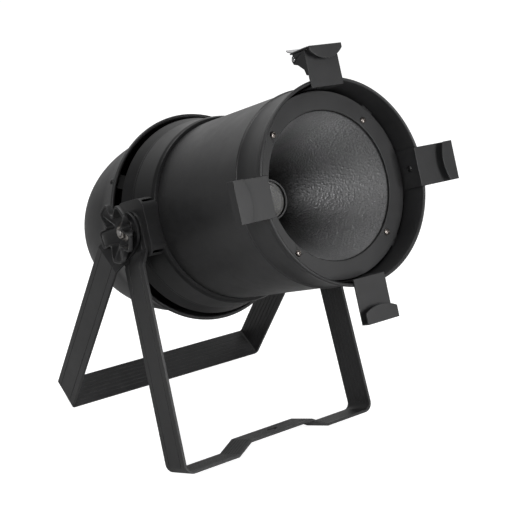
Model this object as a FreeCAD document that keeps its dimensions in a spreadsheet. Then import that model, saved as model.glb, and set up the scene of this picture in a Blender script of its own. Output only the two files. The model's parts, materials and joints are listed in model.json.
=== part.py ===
import FreeCAD, Part
import math
import os
import Sketcher

# Floor-standing stage lantern: a par can hung in two friction-clamped U brackets.
#
# Frame: +Z up, floor at z = 0, the lantern looks towards -Y and its tilt axis lies
# along X. Millimetres and degrees throughout.
#
# The can's own frame, used by every piece of the can, has its origin on the tilt
# axis, local x along X, local z out of the can's mouth and local y "up" the can.
# Each bracket's own frame has its origin on the tilt axis and local z up its arms.

DOC = FreeCAD.newDocument("FollowSpot")
V = FreeCAD.Vector

FIT = 0.05  # radial clearance of a fixed shank in its hole

# --- driving dimensions -------------------------------------------------------

SIZES = (
    # the stance
    ("tilt", 22.0, "can axis above the horizontal"),
    ("spread_front", 22.8, "front bracket from the vertical"),
    ("spread_rear", 28.5, "rear bracket from the vertical"),
    ("set_back", 13.46, "tilt axis behind the footprint's middle"),
    # bracket strip
    ("strip_w", 40.0, "width of the bracket strip"),
    ("strip_t", 3.0, "thickness of the bracket strip"),
    ("rib_deep", 0.4, "depth of the strip's grooves"),
    ("rib_wide", 1.0, "width of an inner groove"),
    ("rib_pitch", 5.4, "spacing of the inner grooves"),
    ("edge_groove", 8.0, "outer groove from the strip's edge"),
    # front bracket
    ("leg_front", 263.8, "tilt axis to the underside of the front bar"),
    ("lean_front", 4.9, "a front arm's foot outside its step"),
    ("joggle_in", 8.0, "front arm stepped in at the clamp"),
    ("joggle_low", 39.0, "foot of that step below the axis"),
    ("joggle_high", 24.0, "head of that step below the axis"),
    ("corner_front", 11.0, "outer corner radius of the front bracket"),
    ("raise_rise", 11.0, "raised middle of the front bar"),
    ("raise_outer", 62.5, "half length of the raise at its foot"),
    ("raise_inner", 43.5, "half length of the raise at its head"),
    ("clamp_bore", 6.25, "radius of the hanging bolt's hole"),
    # rear bracket
    ("joggle_out", 15.3, "rear arm stepped out below the clamp"),
    ("joggle_rear", 13.0, "head of the rear arm's step below the axis"),
    ("corner_rear", 5.0, "outer corner radius of the rear bracket"),
    # can tube
    ("tube_radius", 99.0, "outside radius of the tube"),
    ("sheet", 1.5, "sheet thickness of tube, collar and bowl"),
    ("tube_back", 12.0, "rear end of the tube"),
    ("bead_behind", 42.7, "front bead behind the rim"),
    ("bead_small", 1.3, "section radius of that bead"),
    ("neck_in", 0.5, "tube drawn in behind its flare"),
    ("rim_at", 219.2, "middle of the rolled rim"),
    ("rim_flare", 1.2, "rim's middle outside the tube's radius"),
    ("rim_roll", 1.8, "section radius of the rolled rim"),
    # rear collar
    ("collar_lap", 15.5, "collar's front lip over the tube"),
    ("collar_step", 5.6, "shoulder above the tube"),
    ("collar_waist", 8.2, "collar at its waist above the tube"),
    ("collar_flare", 13.0, "collar's rear lip above the tube"),
    ("shoulder_long", 11.5, "length of the collar's rounded shoulder"),
    ("collar_groove", -14.0, "groove round the collar"),
    ("groove_half", 1.5, "half width of that groove"),
    ("collar_back", -30.6, "rear lip of the collar"),
    # rear bowl
    ("bowl_over", 17.8, "bowl's rolled rim outside the tube's radius"),
    ("bowl_roll", 2.2, "section radius of that rim"),
    ("bowl_gap", 11.0, "bowl's rolled rim behind the collar"),
    ("dome_over", 7.0, "start of the dome outside the tube's radius"),
    ("flare_long", 43.4, "length of the bowl's flare"),
    ("dome_deep", 152.0, "depth of the dome"),
    ("screw_behind", 11.4, "bowl screws behind the bowl's rim"),
    ("bowl_screw", 2.0, "shank radius of a bowl screw"),
    ("bowl_screw_head", 3.6, "head radius of a bowl screw"),
    ("bowl_screw_rise", 1.9, "height of a bowl screw's head"),
    ("strap_w", 16.0, "width of a bowl strap"),
    ("strap_t", 2.0, "thickness of a bowl strap"),
    # front ring
    ("ring_behind", 23.2, "front face of the ring plate behind the rim"),
    ("ring_sheet", 1.5, "thickness of the ring plate"),
    ("ring_gap", 3.3, "ring plate's edge inside the neck"),
    ("ring_wide", 18.9, "width of the ring plate"),
    ("screw_in", 6.4, "ring plate's screws outside the light opening"),
    ("ring_screw", 1.9, "shank radius of those screws"),
    ("ring_screw_head", 3.4, "head radius of those screws"),
    ("ring_tab_w", 14.0, "width of a ring tab"),
    ("ring_tab_t", 1.8, "thickness of a ring tab"),
    ("ring_tab_long", 20.0, "leg of a ring tab along the tube"),
    # optics
    ("reflector_wall", 1.2, "wall of the reflector"),
    ("reflector_neck", 22.0, "inside radius at the reflector's neck"),
    ("reflector_long", 104.0, "reflector's neck behind the ring plate"),
    ("board_radius", 30.0, "light source board"),
    ("board_sheet", 2.5, "thickness of that board"),
    ("emitter_radius", 17.0, "lens of the light source"),
    ("emitter_rise", 1.2, "height of that lens"),
    ("holder_rim", 2.0, "holder ring outside the board"),
    ("sink_radius", 58.0, "heat sink"),
    ("sink_base", 8.0, "heat sink's base"),
    ("sink_core", 18.5, "heat sink's core"),
    ("fin_t", 2.0, "thickness of a cooling fin"),
    ("chassis_gap", 3.0, "chassis plate's front face from the tube's rear end"),
    ("chassis_sheet", 2.0, "thickness of the chassis plate"),
    ("vent_radius", 12.0, "vent holes of the chassis plate"),
    ("vent_circle", 77.0, "circle of those vents"),
    ("driver_long", 112.0, "power unit across the can"),
    ("driver_tall", 62.0, "power unit up the can"),
    ("driver_deep", 56.0, "power unit along the can"),
    ("driver_corner", 4.0, "rounding of the power unit"),
    # gland
    ("gland_radius", 8.0, "thread radius of the gland"),
    ("gland_bore", 3.6, "cord hole of the gland"),
    ("gland_inside", 12.0, "thread inside the bowl"),
    ("gland_outside", 18.0, "gland outside the bowl"),
    ("gland_nut_t", 4.5, "thickness of the gland's nut"),
    # pivot
    ("stud_radius", 4.0, "pivot stud"),
    ("stud_play", 0.08, "running clearance on the stud"),
    ("stud_head", 8.0, "head radius of the stud"),
    ("stud_head_t", 4.5, "head thickness of the stud"),
    ("pad_over", 3.5, "outer face of the pivot plate beyond the collar's flare"),
    ("pad_half_long", 28.0, "pivot plate along the can"),
    ("pad_half_tall", 31.0, "pivot plate up the can"),
    ("pad_sheet", 2.5, "thickness of the pivot plate"),
    ("pad_corner", 12.0, "corner radius of the pivot plate"),
    ("clutch_radius", 16.0, "friction washer between the arms"),
    ("clutch_sheet", 2.5, "thickness of that washer"),
    ("washer_radius", 12.0, "knob washer"),
    ("washer_sheet", 1.6, "knob washer thickness"),
    # knob
    ("knob_radius", 33.5, "tip of a lobe"),
    ("knob_deep", 15.4, "depth of the knob"),
    ("knob_rim", 3.5, "depth of a lobe at its tip"),
    ("knob_foot", 13.6, "foot radius of the knob"),
    ("knob_wall", 2.4, "wall of the knob"),
    ("knob_floor", 2.6, "floor of the knob"),
    ("knob_phase", -102.0, "direction of the first lobe"),
    ("knob_round", 4.0, "rounding of a lobe's corners"),
    ("nut_flats", 13.0, "across the flats of the nut"),
    ("nut_tall", 5.5, "height of the nut"),
    ("nut_flange", 10.5, "flange radius of the nut"),
    ("nut_flange_t", 1.2, "flange thickness of the nut"),
    # frame clips
    ("clip_w", 40.0, "width of a frame clip"),
    ("clip_t", 1.5, "thickness of a frame clip"),
    ("clip_gap", 0.1, "clip's upright clear of the rolled rim"),
    ("clip_slot", 7.0, "slot for the colour frame"),
    ("clip_over", 37.8, "outer face of a side clip beyond the rim"),
    ("lip_deep", 16.5, "depth of a side clip's lip at its middle"),
    ("clip_lip_sag", 5.0, "bow of the lip edge"),
    ("clip_tab", 36.0, "tab inside the tube"),
    ("rivet_behind", 11.2, "rivets behind the rim"),
    ("rivet_radius", 2.0, "shank radius of a rivet"),
    ("rivet_head", 3.4, "head radius of a rivet"),
    ("rivet_rise", 1.6, "height of a rivet's head"),
    # top latch
    ("latch_over", 7.3, "outer face of the latch above its pin"),
    ("latch_lip", 13.4, "depth of the latch's lip at its middle"),
    ("pin_over", 24.3, "latch pin beyond the rim"),
    ("pin_behind", 14.2, "latch pin behind the rim"),
    ("pin_radius", 2.0, "latch pin"),
    ("pin_play", 0.08, "running clearance on the pin"),
    ("pin_head", 3.4, "head radius of the pin"),
    ("wire", 1.0, "wire of the latch spring"),
    ("thumb_reach", 13.5, "thumb tab behind the pin"),
    ("thumb_sheet", 1.0, "thickness of the thumb tab"),
    ("play", 0.3, "clearance between moving faces"),
)


def number_text(value):
    """Write a number for an expression, with a sign that can follow an operator."""
    if isinstance(value, Size):
        return value.text
    return "(%.9g)" % value if value < 0 else "%.9g" % value


def number_value(value):
    """Read the plain number of a size or of a number."""
    return value.value if isinstance(value, Size) else float(value)


class Size:
    """A dimension kept both as its number and as the expression that gives it."""

    def __init__(self, text, value):
        self.text = text
        self.value = value

    def _with(self, sign, left, right, value):
        return Size("(%s %s %s)" % (number_text(left), sign, number_text(right)), value)

    def __add__(self, other):
        return self._with("+", self, other, self.value + number_value(other))

    def __radd__(self, other):
        return self._with("+", other, self, number_value(other) + self.value)

    def __sub__(self, other):
        return self._with("-", self, other, self.value - number_value(other))

    def __rsub__(self, other):
        return self._with("-", other, self, number_value(other) - self.value)

    def __mul__(self, other):
        return self._with("*", self, other, self.value * number_value(other))

    def __rmul__(self, other):
        return self._with("*", other, self, number_value(other) * self.value)

    def __truediv__(self, other):
        return self._with("/", self, other, self.value / number_value(other))

    def __neg__(self):
        return Size("(0 - %s)" % self.text, -self.value)


def cosine(angle):
    """Cosine of an angle in degrees."""
    return Size("cos(%s)" % angle.text, math.cos(math.radians(angle.value)))


def sine(angle):
    """Sine of an angle in degrees."""
    return Size("sin(%s)" % angle.text, math.sin(math.radians(angle.value)))


def root(size):
    """Square root of a size."""
    return Size("sqrt(%s)" % size.text, math.sqrt(size.value))


class Sheet:
    """The driving dimensions, one named cell each, read as attributes."""

    def __init__(self, rows):
        self.cells = DOC.addObject("Spreadsheet::Sheet", "Sizes")
        for index, (name, value, note) in enumerate(rows):
            row = index + 1
            self.cells.set("A%d" % row, name)
            self.cells.set("B%d" % row, "%.9g" % value)
            self.cells.set("C%d" % row, note)
            self.cells.setAlias("B%d" % row, name)
            setattr(self, name, Size("Sizes." + name, value))
        DOC.recompute()


S = Sheet(SIZES)

# --- derived places -----------------------------------------------------------

axis_height = S.leg_front * cosine(S.spread_front) + S.strip_w / 2 * sine(S.spread_front)
leg_rear = (axis_height - S.strip_w / 2 * sine(S.spread_rear)) / cosine(S.spread_rear)

collar_front = S.tube_back + S.collar_lap
bowl_mouth = S.collar_back - S.bowl_gap
bowl_screw_at = bowl_mouth - S.screw_behind
dome_at = bowl_mouth - S.flare_long
bowl_rim = S.tube_radius + S.bowl_over
dome_radius = S.tube_radius + S.dome_over
chassis_at = S.tube_back + S.chassis_gap

bead_at = S.rim_at - S.bead_behind
ring_at = S.rim_at - S.ring_behind
rivet_at = S.rim_at - S.rivet_behind
pin_at = S.rim_at - S.pin_behind
clip_plate = S.rim_at + S.rim_roll + S.clip_gap
reflector_base = ring_at - S.reflector_long

tube_inner = S.tube_radius - S.sheet
neck_inner = tube_inner - S.neck_in
ring_back = ring_at - S.ring_sheet
waist_radius = S.tube_radius + S.collar_waist
step_radius = S.tube_radius + S.collar_step
flare_radius = S.tube_radius + S.collar_flare
rim_radius = S.tube_radius + S.rim_flare
ring_radius = neck_inner - S.ring_gap
mouth_radius = ring_radius - S.ring_wide
screw_circle = mouth_radius + S.screw_in
clip_reach = rim_radius + S.clip_over
clip_lip_mid = clip_reach - S.lip_deep
pin_up = rim_radius + S.pin_over
latch_reach = pin_up + S.latch_over
latch_lip_mid = latch_reach - S.latch_lip
pad_face = flare_radius + S.pad_over

arm_in_front = pad_face
arm_out_front = pad_face + S.strip_t
arm_in_rear = arm_out_front + S.clutch_sheet
arm_out_rear = arm_in_rear + S.strip_t
washer_out = arm_out_rear + S.washer_sheet
knob_out = washer_out + S.knob_deep
half_front = arm_out_front + S.joggle_in + S.lean_front
half_rear = arm_out_rear + S.joggle_out
hole_on_stud = S.stud_radius + S.stud_play

clip_front = clip_plate + S.clip_t
lip_back = clip_front + S.clip_slot
lip_front = lip_back + S.clip_t

CAN = "placement(vector(0; %s; %s); rotation(vector(1; 0; 0); 90 - Sizes.tilt))" % (
    S.set_back.text,
    axis_height.text,
)
FRONT = "placement(vector(0; %s; %s); rotation(vector(1; 0; 0); 0 - Sizes.spread_front))" % (
    S.set_back.text,
    axis_height.text,
)
REAR = "placement(vector(0; %s; %s); rotation(vector(1; 0; 0); Sizes.spread_rear))" % (
    S.set_back.text,
    axis_height.text,
)

NODES = []

# --- building blocks ----------------------------------------------------------


def bind(thing, prop, size):
    """Tie a property to a size, or set it when the size is a plain number."""
    if isinstance(size, Size):
        thing.setExpression(prop, size.text)
    else:
        setattr(thing, prop, size)


def node(thing, label, frame):
    """Name a finished sub-part and place it in its frame."""
    thing.Label = label
    thing.setExpression("Placement", frame)
    NODES.append(thing)
    return thing


def body(name):
    """Start a body that may hold several solids."""
    made = DOC.addObject("PartDesign::Body", name + "_body")
    made.AllowCompound = True
    return made


def origin(owner, role):
    """Find one of a body's origin planes or axes."""
    for feature in owner.Origin.OriginFeatures:
        if feature.Role == role:
            return feature
    raise RuntimeError("no " + role)


def new_sketch(owner, role, turn=0.0, lift=0.0):
    """Attach a sketch to an origin plane, turned about its y and lifted off it."""
    made = owner.newObject("Sketcher::SketchObject", "Sketch")
    made.AttachmentSupport = [(origin(owner, role), "")]
    made.MapMode = "FlatFace"
    spin = FreeCAD.Rotation(V(0, 1, 0), turn)
    made.AttachmentOffset = FreeCAD.Placement(V(0, 0, 0), spin)
    if isinstance(lift, Size):
        made.setExpression("AttachmentOffset.Base.z", lift.text)
    elif lift:
        made.AttachmentOffset = FreeCAD.Placement(V(0, 0, lift), spin)
    return made


def pin_point(sketch, geometry, place, point):
    """Fix a sketch point at bound distances from the sketch's origin."""
    for kind, size in zip(("DistanceX", "DistanceY"), point):
        value = number_value(size)
        index = sketch.addConstraint(Sketcher.Constraint(kind, -1, 1, geometry, place, value))
        if isinstance(size, Size):
            sketch.setExpression("Constraints[%d]" % index, size.text)


def outline(owner, role, points, turn=0.0, lift=0.0):
    """Draw a closed polygon with every corner bound to the sheet."""
    made = new_sketch(owner, role, turn, lift)
    count = len(points)
    corners = [V(number_value(x), number_value(y), 0) for x, y in points]
    for index in range(count):
        made.addGeometry(Part.LineSegment(corners[index], corners[(index + 1) % count]), False)
    for index in range(count):
        made.addConstraint(Sketcher.Constraint("Coincident", index, 2, (index + 1) % count, 1))
    for index, point in enumerate(points):
        pin_point(made, index, 1, point)
    return made


def circles(owner, role, rows, turn=0.0, lift=0.0):
    """Draw circles, each row a centre and a radius, bound to the sheet."""
    made = new_sketch(owner, role, turn, lift)
    for index, (across, along, radius) in enumerate(rows):
        centre = V(number_value(across), number_value(along), 0)
        made.addGeometry(Part.Circle(centre, V(0, 0, 1), number_value(radius)), False)
        pin_point(made, index, 3, (across, along))
        value = number_value(radius)
        row = made.addConstraint(Sketcher.Constraint("Radius", index, value))
        if isinstance(radius, Size):
            made.setExpression("Constraints[%d]" % row, radius.text)
    return made


def revolve(owner, sketch, axis="V_Axis"):
    """Turn a sketch all the way round one of its axes or edges."""
    made = owner.newObject("PartDesign::Revolution", "Revolution")
    made.Profile = sketch
    made.ReferenceAxis = (sketch, [axis])
    made.Angle = 360
    owner.Tip = made
    return made


def groove(owner, sketch, axis="V_Axis"):
    """Cut a sketch turned all the way round one of its axes."""
    made = owner.newObject("PartDesign::Groove", "Groove")
    made.Profile = sketch
    made.ReferenceAxis = (sketch, [axis])
    made.Angle = 360
    owner.Tip = made
    return made


def pad(owner, sketch, length, symmetric=False, reversed_=False):
    """Extrude a sketch along its normal."""
    made = owner.newObject("PartDesign::Pad", "Pad")
    made.Profile = sketch
    made.SideType = "Symmetric" if symmetric else "One side"
    made.Reversed = reversed_
    bind(made, "Length", length)
    owner.Tip = made
    return made


def pocket(owner, sketch, length, symmetric=True, reversed_=False):
    """Cut a sketch along its normal."""
    made = owner.newObject("PartDesign::Pocket", "Pocket")
    made.Profile = sketch
    made.SideType = "Symmetric" if symmetric else "One side"
    made.Reversed = reversed_
    bind(made, "Length", length)
    owner.Tip = made
    return made


def polar(owner, features, count, axis="Z_Axis"):
    """Repeat features round one of the body's axes."""
    made = owner.newObject("PartDesign::PolarPattern", "PolarPattern")
    made.Originals = features
    made.Axis = (origin(owner, axis), [""])
    made.Angle = 360
    made.Occurrences = count
    owner.Tip = made
    return made


def fillet(owner, picks, radius):
    """Round the edges of the tip that a test picks out."""
    DOC.recompute()
    base = owner.Tip
    names = []
    for index, edge in enumerate(base.Shape.Edges):
        if picks(edge):
            names.append("Edge%d" % (index + 1))
    if not names:
        raise RuntimeError("no edges to round on " + owner.Name)
    made = owner.newObject("PartDesign::Fillet", "Fillet")
    made.Base = (base, names)
    bind(made, "Radius", radius)
    owner.Tip = made
    return made


def straight_along(edge, axis):
    """Say whether an edge is a straight line along an axis."""
    if edge.Curve.TypeId != "Part::GeomLine":
        return False
    return abs(abs(edge.Curve.Direction.dot(axis)) - 1.0) < 1e-6


def near(edge, across, up, reach):
    """Say whether an edge's middle lies near a place in the local xz plane."""
    middle = edge.CenterOfMass
    return abs(abs(middle.x) - across) < reach and abs(middle.z - up) < reach


def hexagon_outline(reach):
    """Corners of a hexagon, corner to centre given."""
    corners = []
    for corner in range(6):
        turn = math.radians(60 * corner)
        corners.append((reach * math.cos(turn), reach * math.sin(turn)))
    return corners


def box(name, low, high):
    """A box between two corners, each a triple of sizes."""
    made = DOC.addObject("Part::Box", name)
    for prop, axis, index in (("Length", "x", 0), ("Width", "y", 1), ("Height", "z", 2)):
        span = high[index] - low[index]
        bind(made, prop, span)
        if isinstance(low[index], Size):
            made.setExpression("Placement.Base." + axis, low[index].text)
        else:
            base = made.Placement.Base
            setattr(base, axis, low[index])
            made.Placement.Base = base
    return made


def rod(name, radius, length, at, tip=None):
    """A cylinder along z, or along x or y when tip says so."""
    made = DOC.addObject("Part::Cylinder", name)
    bind(made, "Radius", radius)
    bind(made, "Height", length)
    turn = "0"
    axis = "0; 0; 1"
    if tip == "x":
        turn = "90"
        axis = "0; 1; 0"
    if tip == "y":
        turn = "(-90)"
        axis = "1; 0; 0"
    place = "; ".join(number_text(value) for value in at)
    made.setExpression(
        "Placement",
        "placement(vector(%s); rotation(vector(%s); %s))" % (place, axis, turn),
    )
    return made


def fuse(name, shapes):
    """Join primitives."""
    made = DOC.addObject("Part::MultiFuse", name)
    made.Shapes = shapes
    made.Refine = True
    return made


def common(name, shapes):
    """Keep what primitives share."""
    made = DOC.addObject("Part::MultiCommon", name)
    made.Shapes = shapes
    return made


def cut(name, base, tool):
    """Take one primitive from another."""
    made = DOC.addObject("Part::Cut", name)
    made.Base = base
    made.Tool = tool
    return made


# --- the can's shell ----------------------------------------------------------


def tube_outline():
    """Outer line of the tube from its rear end to its rim."""
    radius = S.tube_radius
    reach = S.rim_at - bead_at
    return (
        (radius, S.tube_back),
        (radius, bead_at - S.bead_small),
        (radius - S.neck_in, bead_at + S.bead_small * 2),
        (radius - S.neck_in * 0.8, bead_at + reach * 0.45),
        (radius + S.rim_flare * 0.25, bead_at + reach * 0.75),
        (radius + S.rim_flare, S.rim_at - S.rim_roll * 0.5),
    )


def shell(line, thickness):
    """Close an outer line into a sheet-metal section."""
    inner = [(radius - thickness, along) for radius, along in reversed(line)]
    return list(line) + inner


can_tube = body("can_tube")
revolve(can_tube, outline(can_tube, "XZ_Plane", shell(tube_outline(), S.sheet)))
for bead in ((rim_radius, S.rim_at, S.rim_roll), (S.tube_radius - 0.2, bead_at, S.bead_small)):
    revolve(can_tube, circles(can_tube, "XZ_Plane", [bead]))
rivet_hole = S.rivet_radius + FIT
for turn in (0.0, 90.0):
    holes = circles(can_tube, "XZ_Plane", [(0.0, rivet_at, rivet_hole)], turn)
    pocket(can_tube, holes, S.tube_radius * 3)
node(can_tube, "can_tube", CAN)

collar_line = (
    (S.tube_radius, collar_front),
    (S.tube_radius + S.collar_step * 0.5, collar_front - S.shoulder_long * 0.17),
    (S.tube_radius + S.collar_step * 0.9, collar_front - S.shoulder_long * 0.57),
    (step_radius, collar_front - S.shoulder_long),
    (waist_radius - 0.2, S.collar_groove + S.groove_half * 2.3),
    (waist_radius + 0.4, S.collar_groove + S.groove_half * 1.2),
    (waist_radius - 0.5, S.collar_groove),
    (waist_radius - 0.2, S.collar_groove - S.groove_half),
    (flare_radius - 0.6, S.collar_back + 2.0),
    (flare_radius, S.collar_back),
)
collar_inner = [(radius - S.sheet, along) for radius, along in reversed(collar_line[3:])]
collar_inner += [
    (S.tube_radius + S.collar_step * 0.9 - S.sheet * 0.9, collar_front - S.shoulder_long * 0.63),
    (S.tube_radius + S.collar_step * 0.5 - S.sheet * 0.7, collar_front - S.shoulder_long * 0.27),
    (S.tube_radius, collar_front - S.shoulder_long * 0.24),
]

rear_collar = body("rear_collar")
revolve(rear_collar, outline(rear_collar, "XZ_Plane", list(collar_line) + collar_inner))
stud_holes = circles(rear_collar, "YZ_Plane", [(0.0, 0.0, S.stud_radius + FIT)])
pocket(rear_collar, stud_holes, S.tube_radius * 3)
node(rear_collar, "rear_collar", CAN)

# --- the rear bowl ------------------------------------------------------------

BOWL_SCREWS = 3
DOME_STEP = 6
DOME_STEPS = 15


def dome_line(radius, deep, last_radius):
    """Elliptical dome from its start to the hole at its tip."""
    line = []
    for step in range(DOME_STEPS):
        turn = math.radians(DOME_STEP * step)
        line.append((radius * math.cos(turn), dome_at - deep * math.sin(turn)))
    line.append((last_radius, dome_at - deep))
    return line


gland_hole = S.gland_radius + FIT
bowl_outer = [(bowl_rim + S.bowl_roll * 0.35, bowl_mouth - S.bowl_roll * 0.5)]
bowl_outer += dome_line(dome_radius, S.dome_deep, gland_hole)
bowl_inner = [(bowl_rim + S.bowl_roll * 0.35 - S.sheet, bowl_mouth - S.bowl_roll * 0.5)]
bowl_inner += dome_line(dome_radius - S.sheet, S.dome_deep - S.sheet, gland_hole)

rear_bowl = body("rear_bowl")
revolve(rear_bowl, outline(rear_bowl, "XZ_Plane", bowl_outer + bowl_inner[::-1]))
revolve(rear_bowl, circles(rear_bowl, "XZ_Plane", [(bowl_rim, bowl_mouth, S.bowl_roll)]))
bowl_hole = pocket(
    rear_bowl,
    circles(rear_bowl, "XZ_Plane", [(0.0, bowl_screw_at, S.bowl_screw + FIT)]),
    bowl_rim * 1.2,
    symmetric=False,
    reversed_=True,
)
polar(rear_bowl, [bowl_hole], BOWL_SCREWS)
node(rear_bowl, "rear_bowl", CAN)


def bowl_radius_at(along):
    """Outside radius of the bowl's flared wall."""
    start = bowl_rim + S.bowl_roll * 0.35
    start_at = bowl_mouth - S.bowl_roll * 0.5
    return start - (start - dome_radius) * ((start_at - along) / (start_at - dome_at))


strap_radius = waist_radius - 0.5 - S.sheet - S.play
strap_step_at = bowl_screw_at + 8.6
strap_end_at = bowl_screw_at - 8.0
strap_outer = (
    (step_radius - S.sheet - 0.15, collar_front - 15.0),
    (strap_radius, S.collar_groove + 5.0),
    (strap_radius, bowl_screw_at + 15.0),
    (bowl_radius_at(strap_step_at) - S.sheet - 0.5, strap_step_at),
    (bowl_radius_at(strap_end_at) - S.sheet - 0.5, strap_end_at),
)
strap_inner = [
    (bowl_radius_at(strap_end_at) - S.sheet - 0.5 - S.strap_t, strap_end_at),
    (bowl_radius_at(strap_step_at) - S.sheet - 1.0 - S.strap_t, strap_step_at - S.strap_t * 0.5),
    (strap_radius - S.strap_t, bowl_screw_at + 15.0 - S.strap_t * 0.8),
    (strap_radius - S.strap_t, S.collar_groove + 5.0),
    (step_radius - S.sheet - 0.2 - S.strap_t, collar_front - 15.0),
]


def at_screw_turn(owner, points):
    """Draw a radius-and-length outline in the plane of the lowest bowl screw."""
    return outline(owner, "XZ_Plane", points, -90.0)


bowl_straps = body("bowl_straps")
strap_sketch = at_screw_turn(bowl_straps, list(strap_outer) + strap_inner)
strap = pad(bowl_straps, strap_sketch, S.strap_w, True)
strap_hole = pocket(
    bowl_straps,
    circles(bowl_straps, "XZ_Plane", [(0.0, bowl_screw_at, S.bowl_screw + FIT)]),
    bowl_rim * 1.2,
    symmetric=False,
    reversed_=True,
)
polar(bowl_straps, [strap, strap_hole], BOWL_SCREWS)
node(bowl_straps, "bowl_straps", CAN)

bowl_screws = body("bowl_screws")
screw_out = bowl_radius_at(bowl_screw_at)
screw_seat = bowl_radius_at(bowl_screw_at + S.bowl_screw_head) + FIT
screw_line = (
    (screw_out - 6.0, bowl_screw_at),
    (screw_seat + S.bowl_screw_rise, bowl_screw_at),
    (screw_seat + S.bowl_screw_rise * 0.85, bowl_screw_at - S.bowl_screw_head * 0.55),
    (screw_seat + S.bowl_screw_rise * 0.45, bowl_screw_at - S.bowl_screw_head * 0.9),
    (screw_seat, bowl_screw_at - S.bowl_screw_head),
    (screw_seat, bowl_screw_at - S.bowl_screw),
    (screw_out - 6.0, bowl_screw_at - S.bowl_screw),
)
screw_one = revolve(bowl_screws, at_screw_turn(bowl_screws, screw_line), "Edge1")
polar(bowl_screws, [screw_one], BOWL_SCREWS)
node(bowl_screws, "bowl_screws", CAN)

# --- front ring, its tabs and screws ------------------------------------------

RING_SCREWS = 4

ring_plate = body("front_ring_plate")
ring_section = (
    (mouth_radius, ring_back),
    (ring_radius, ring_back),
    (ring_radius, ring_at),
    (mouth_radius, ring_at),
)
revolve(ring_plate, outline(ring_plate, "XZ_Plane", ring_section))
half_circle = screw_circle * math.cos(math.radians(45))
ring_hole = pocket(
    ring_plate,
    circles(ring_plate, "XY_Plane", [(half_circle, half_circle, S.ring_screw + FIT)]),
    ring_at * 3,
)
polar(ring_plate, [ring_hole], RING_SCREWS)
node(ring_plate, "front_ring_plate", CAN)

ring_tabs = body("ring_tabs")
tab_wall = neck_inner - S.play * 2
tab_edge = screw_circle - S.ring_screw_head - 0.8
tab_section = (
    (tab_edge, ring_back),
    (tab_wall, ring_back),
    (tab_wall, ring_back - S.ring_tab_long),
    (tab_wall - S.ring_tab_t, ring_back - S.ring_tab_long),
    (tab_wall - S.ring_tab_t, ring_back - S.ring_tab_t),
    (tab_edge, ring_back - S.ring_tab_t),
)
ring_tab = pad(ring_tabs, outline(ring_tabs, "XZ_Plane", tab_section, 45.0), S.ring_tab_w, True)
ring_tab_hole = pocket(
    ring_tabs,
    circles(ring_tabs, "XY_Plane", [(half_circle, half_circle, S.ring_screw + FIT)]),
    ring_at * 3,
)
polar(ring_tabs, [ring_tab, ring_tab_hole], RING_SCREWS)
node(ring_tabs, "ring_tabs", CAN)

ring_screws = body("ring_screws")
ring_screw_line = (
    (screw_circle, ring_back - 5.0),
    (screw_circle, ring_at + 2.3),
    (screw_circle + S.ring_screw_head * 0.5, ring_at + 2.0),
    (screw_circle + S.ring_screw_head * 0.86, ring_at + 1.1),
    (screw_circle + S.ring_screw_head, ring_at),
    (screw_circle + S.ring_screw, ring_at),
    (screw_circle + S.ring_screw, ring_back - 5.0),
)
ring_screw = revolve(ring_screws, outline(ring_screws, "XZ_Plane", ring_screw_line, 45.0), "Edge1")
polar(ring_screws, [ring_screw], RING_SCREWS)
node(ring_screws, "ring_screws", CAN)

# --- reflector, light source and its cooling ----------------------------------

REFLECTOR_STEPS = 14
reflector_mouth = mouth_radius - 0.6
reflector_front = ring_back
reflector_deep = reflector_front - reflector_base
reflector_bowl = reflector_mouth * reflector_mouth - S.reflector_neck * S.reflector_neck
reflector_inner = []
for step in range(REFLECTOR_STEPS + 1):
    share = step / REFLECTOR_STEPS
    radius = S.reflector_neck + (reflector_mouth - S.reflector_neck) * share
    rise = (radius * radius - S.reflector_neck * S.reflector_neck) / reflector_bowl
    reflector_inner.append((radius, reflector_base + reflector_deep * rise))
reflector_outer = [(radius + S.reflector_wall, along) for radius, along in reflector_inner[:-1]]
reflector_outer[0] = (S.reflector_neck + S.reflector_wall, reflector_base)
flange_radius = tab_edge - S.play
reflector_edge = [
    (flange_radius, reflector_front),
    (flange_radius, reflector_front - S.reflector_wall),
    (reflector_mouth + S.reflector_wall, reflector_front - S.reflector_wall),
]
reflector = body("reflector")
reflector_section = reflector_inner + reflector_edge + reflector_outer[::-1]
revolve(reflector, outline(reflector, "XZ_Plane", reflector_section))
node(reflector, "reflector", CAN)

board_front = reflector_base - 2.5
led_holder = body("led_holder")
holder_line = (
    (S.reflector_neck - 2.0, board_front),
    (S.board_radius + S.holder_rim, board_front),
    (S.board_radius + S.holder_rim, reflector_base - 0.8),
    (S.board_radius + S.holder_rim * 0.5, reflector_base),
    (S.reflector_neck - 2.0, reflector_base),
)
revolve(led_holder, outline(led_holder, "XZ_Plane", holder_line))
node(led_holder, "led_holder", CAN)

led_module = body("led_module")
led_line = (
    (0.0, board_front - S.board_sheet),
    (S.board_radius, board_front - S.board_sheet),
    (S.board_radius, board_front),
    (S.emitter_radius, board_front),
    (S.emitter_radius - 0.4, board_front + S.emitter_rise),
    (0.0, board_front + S.emitter_rise),
)
revolve(led_module, outline(led_module, "XZ_Plane", led_line))
node(led_module, "led_module", CAN)

sink_front = board_front - S.board_sheet
FINS = 20
VENTS = 8

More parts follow.
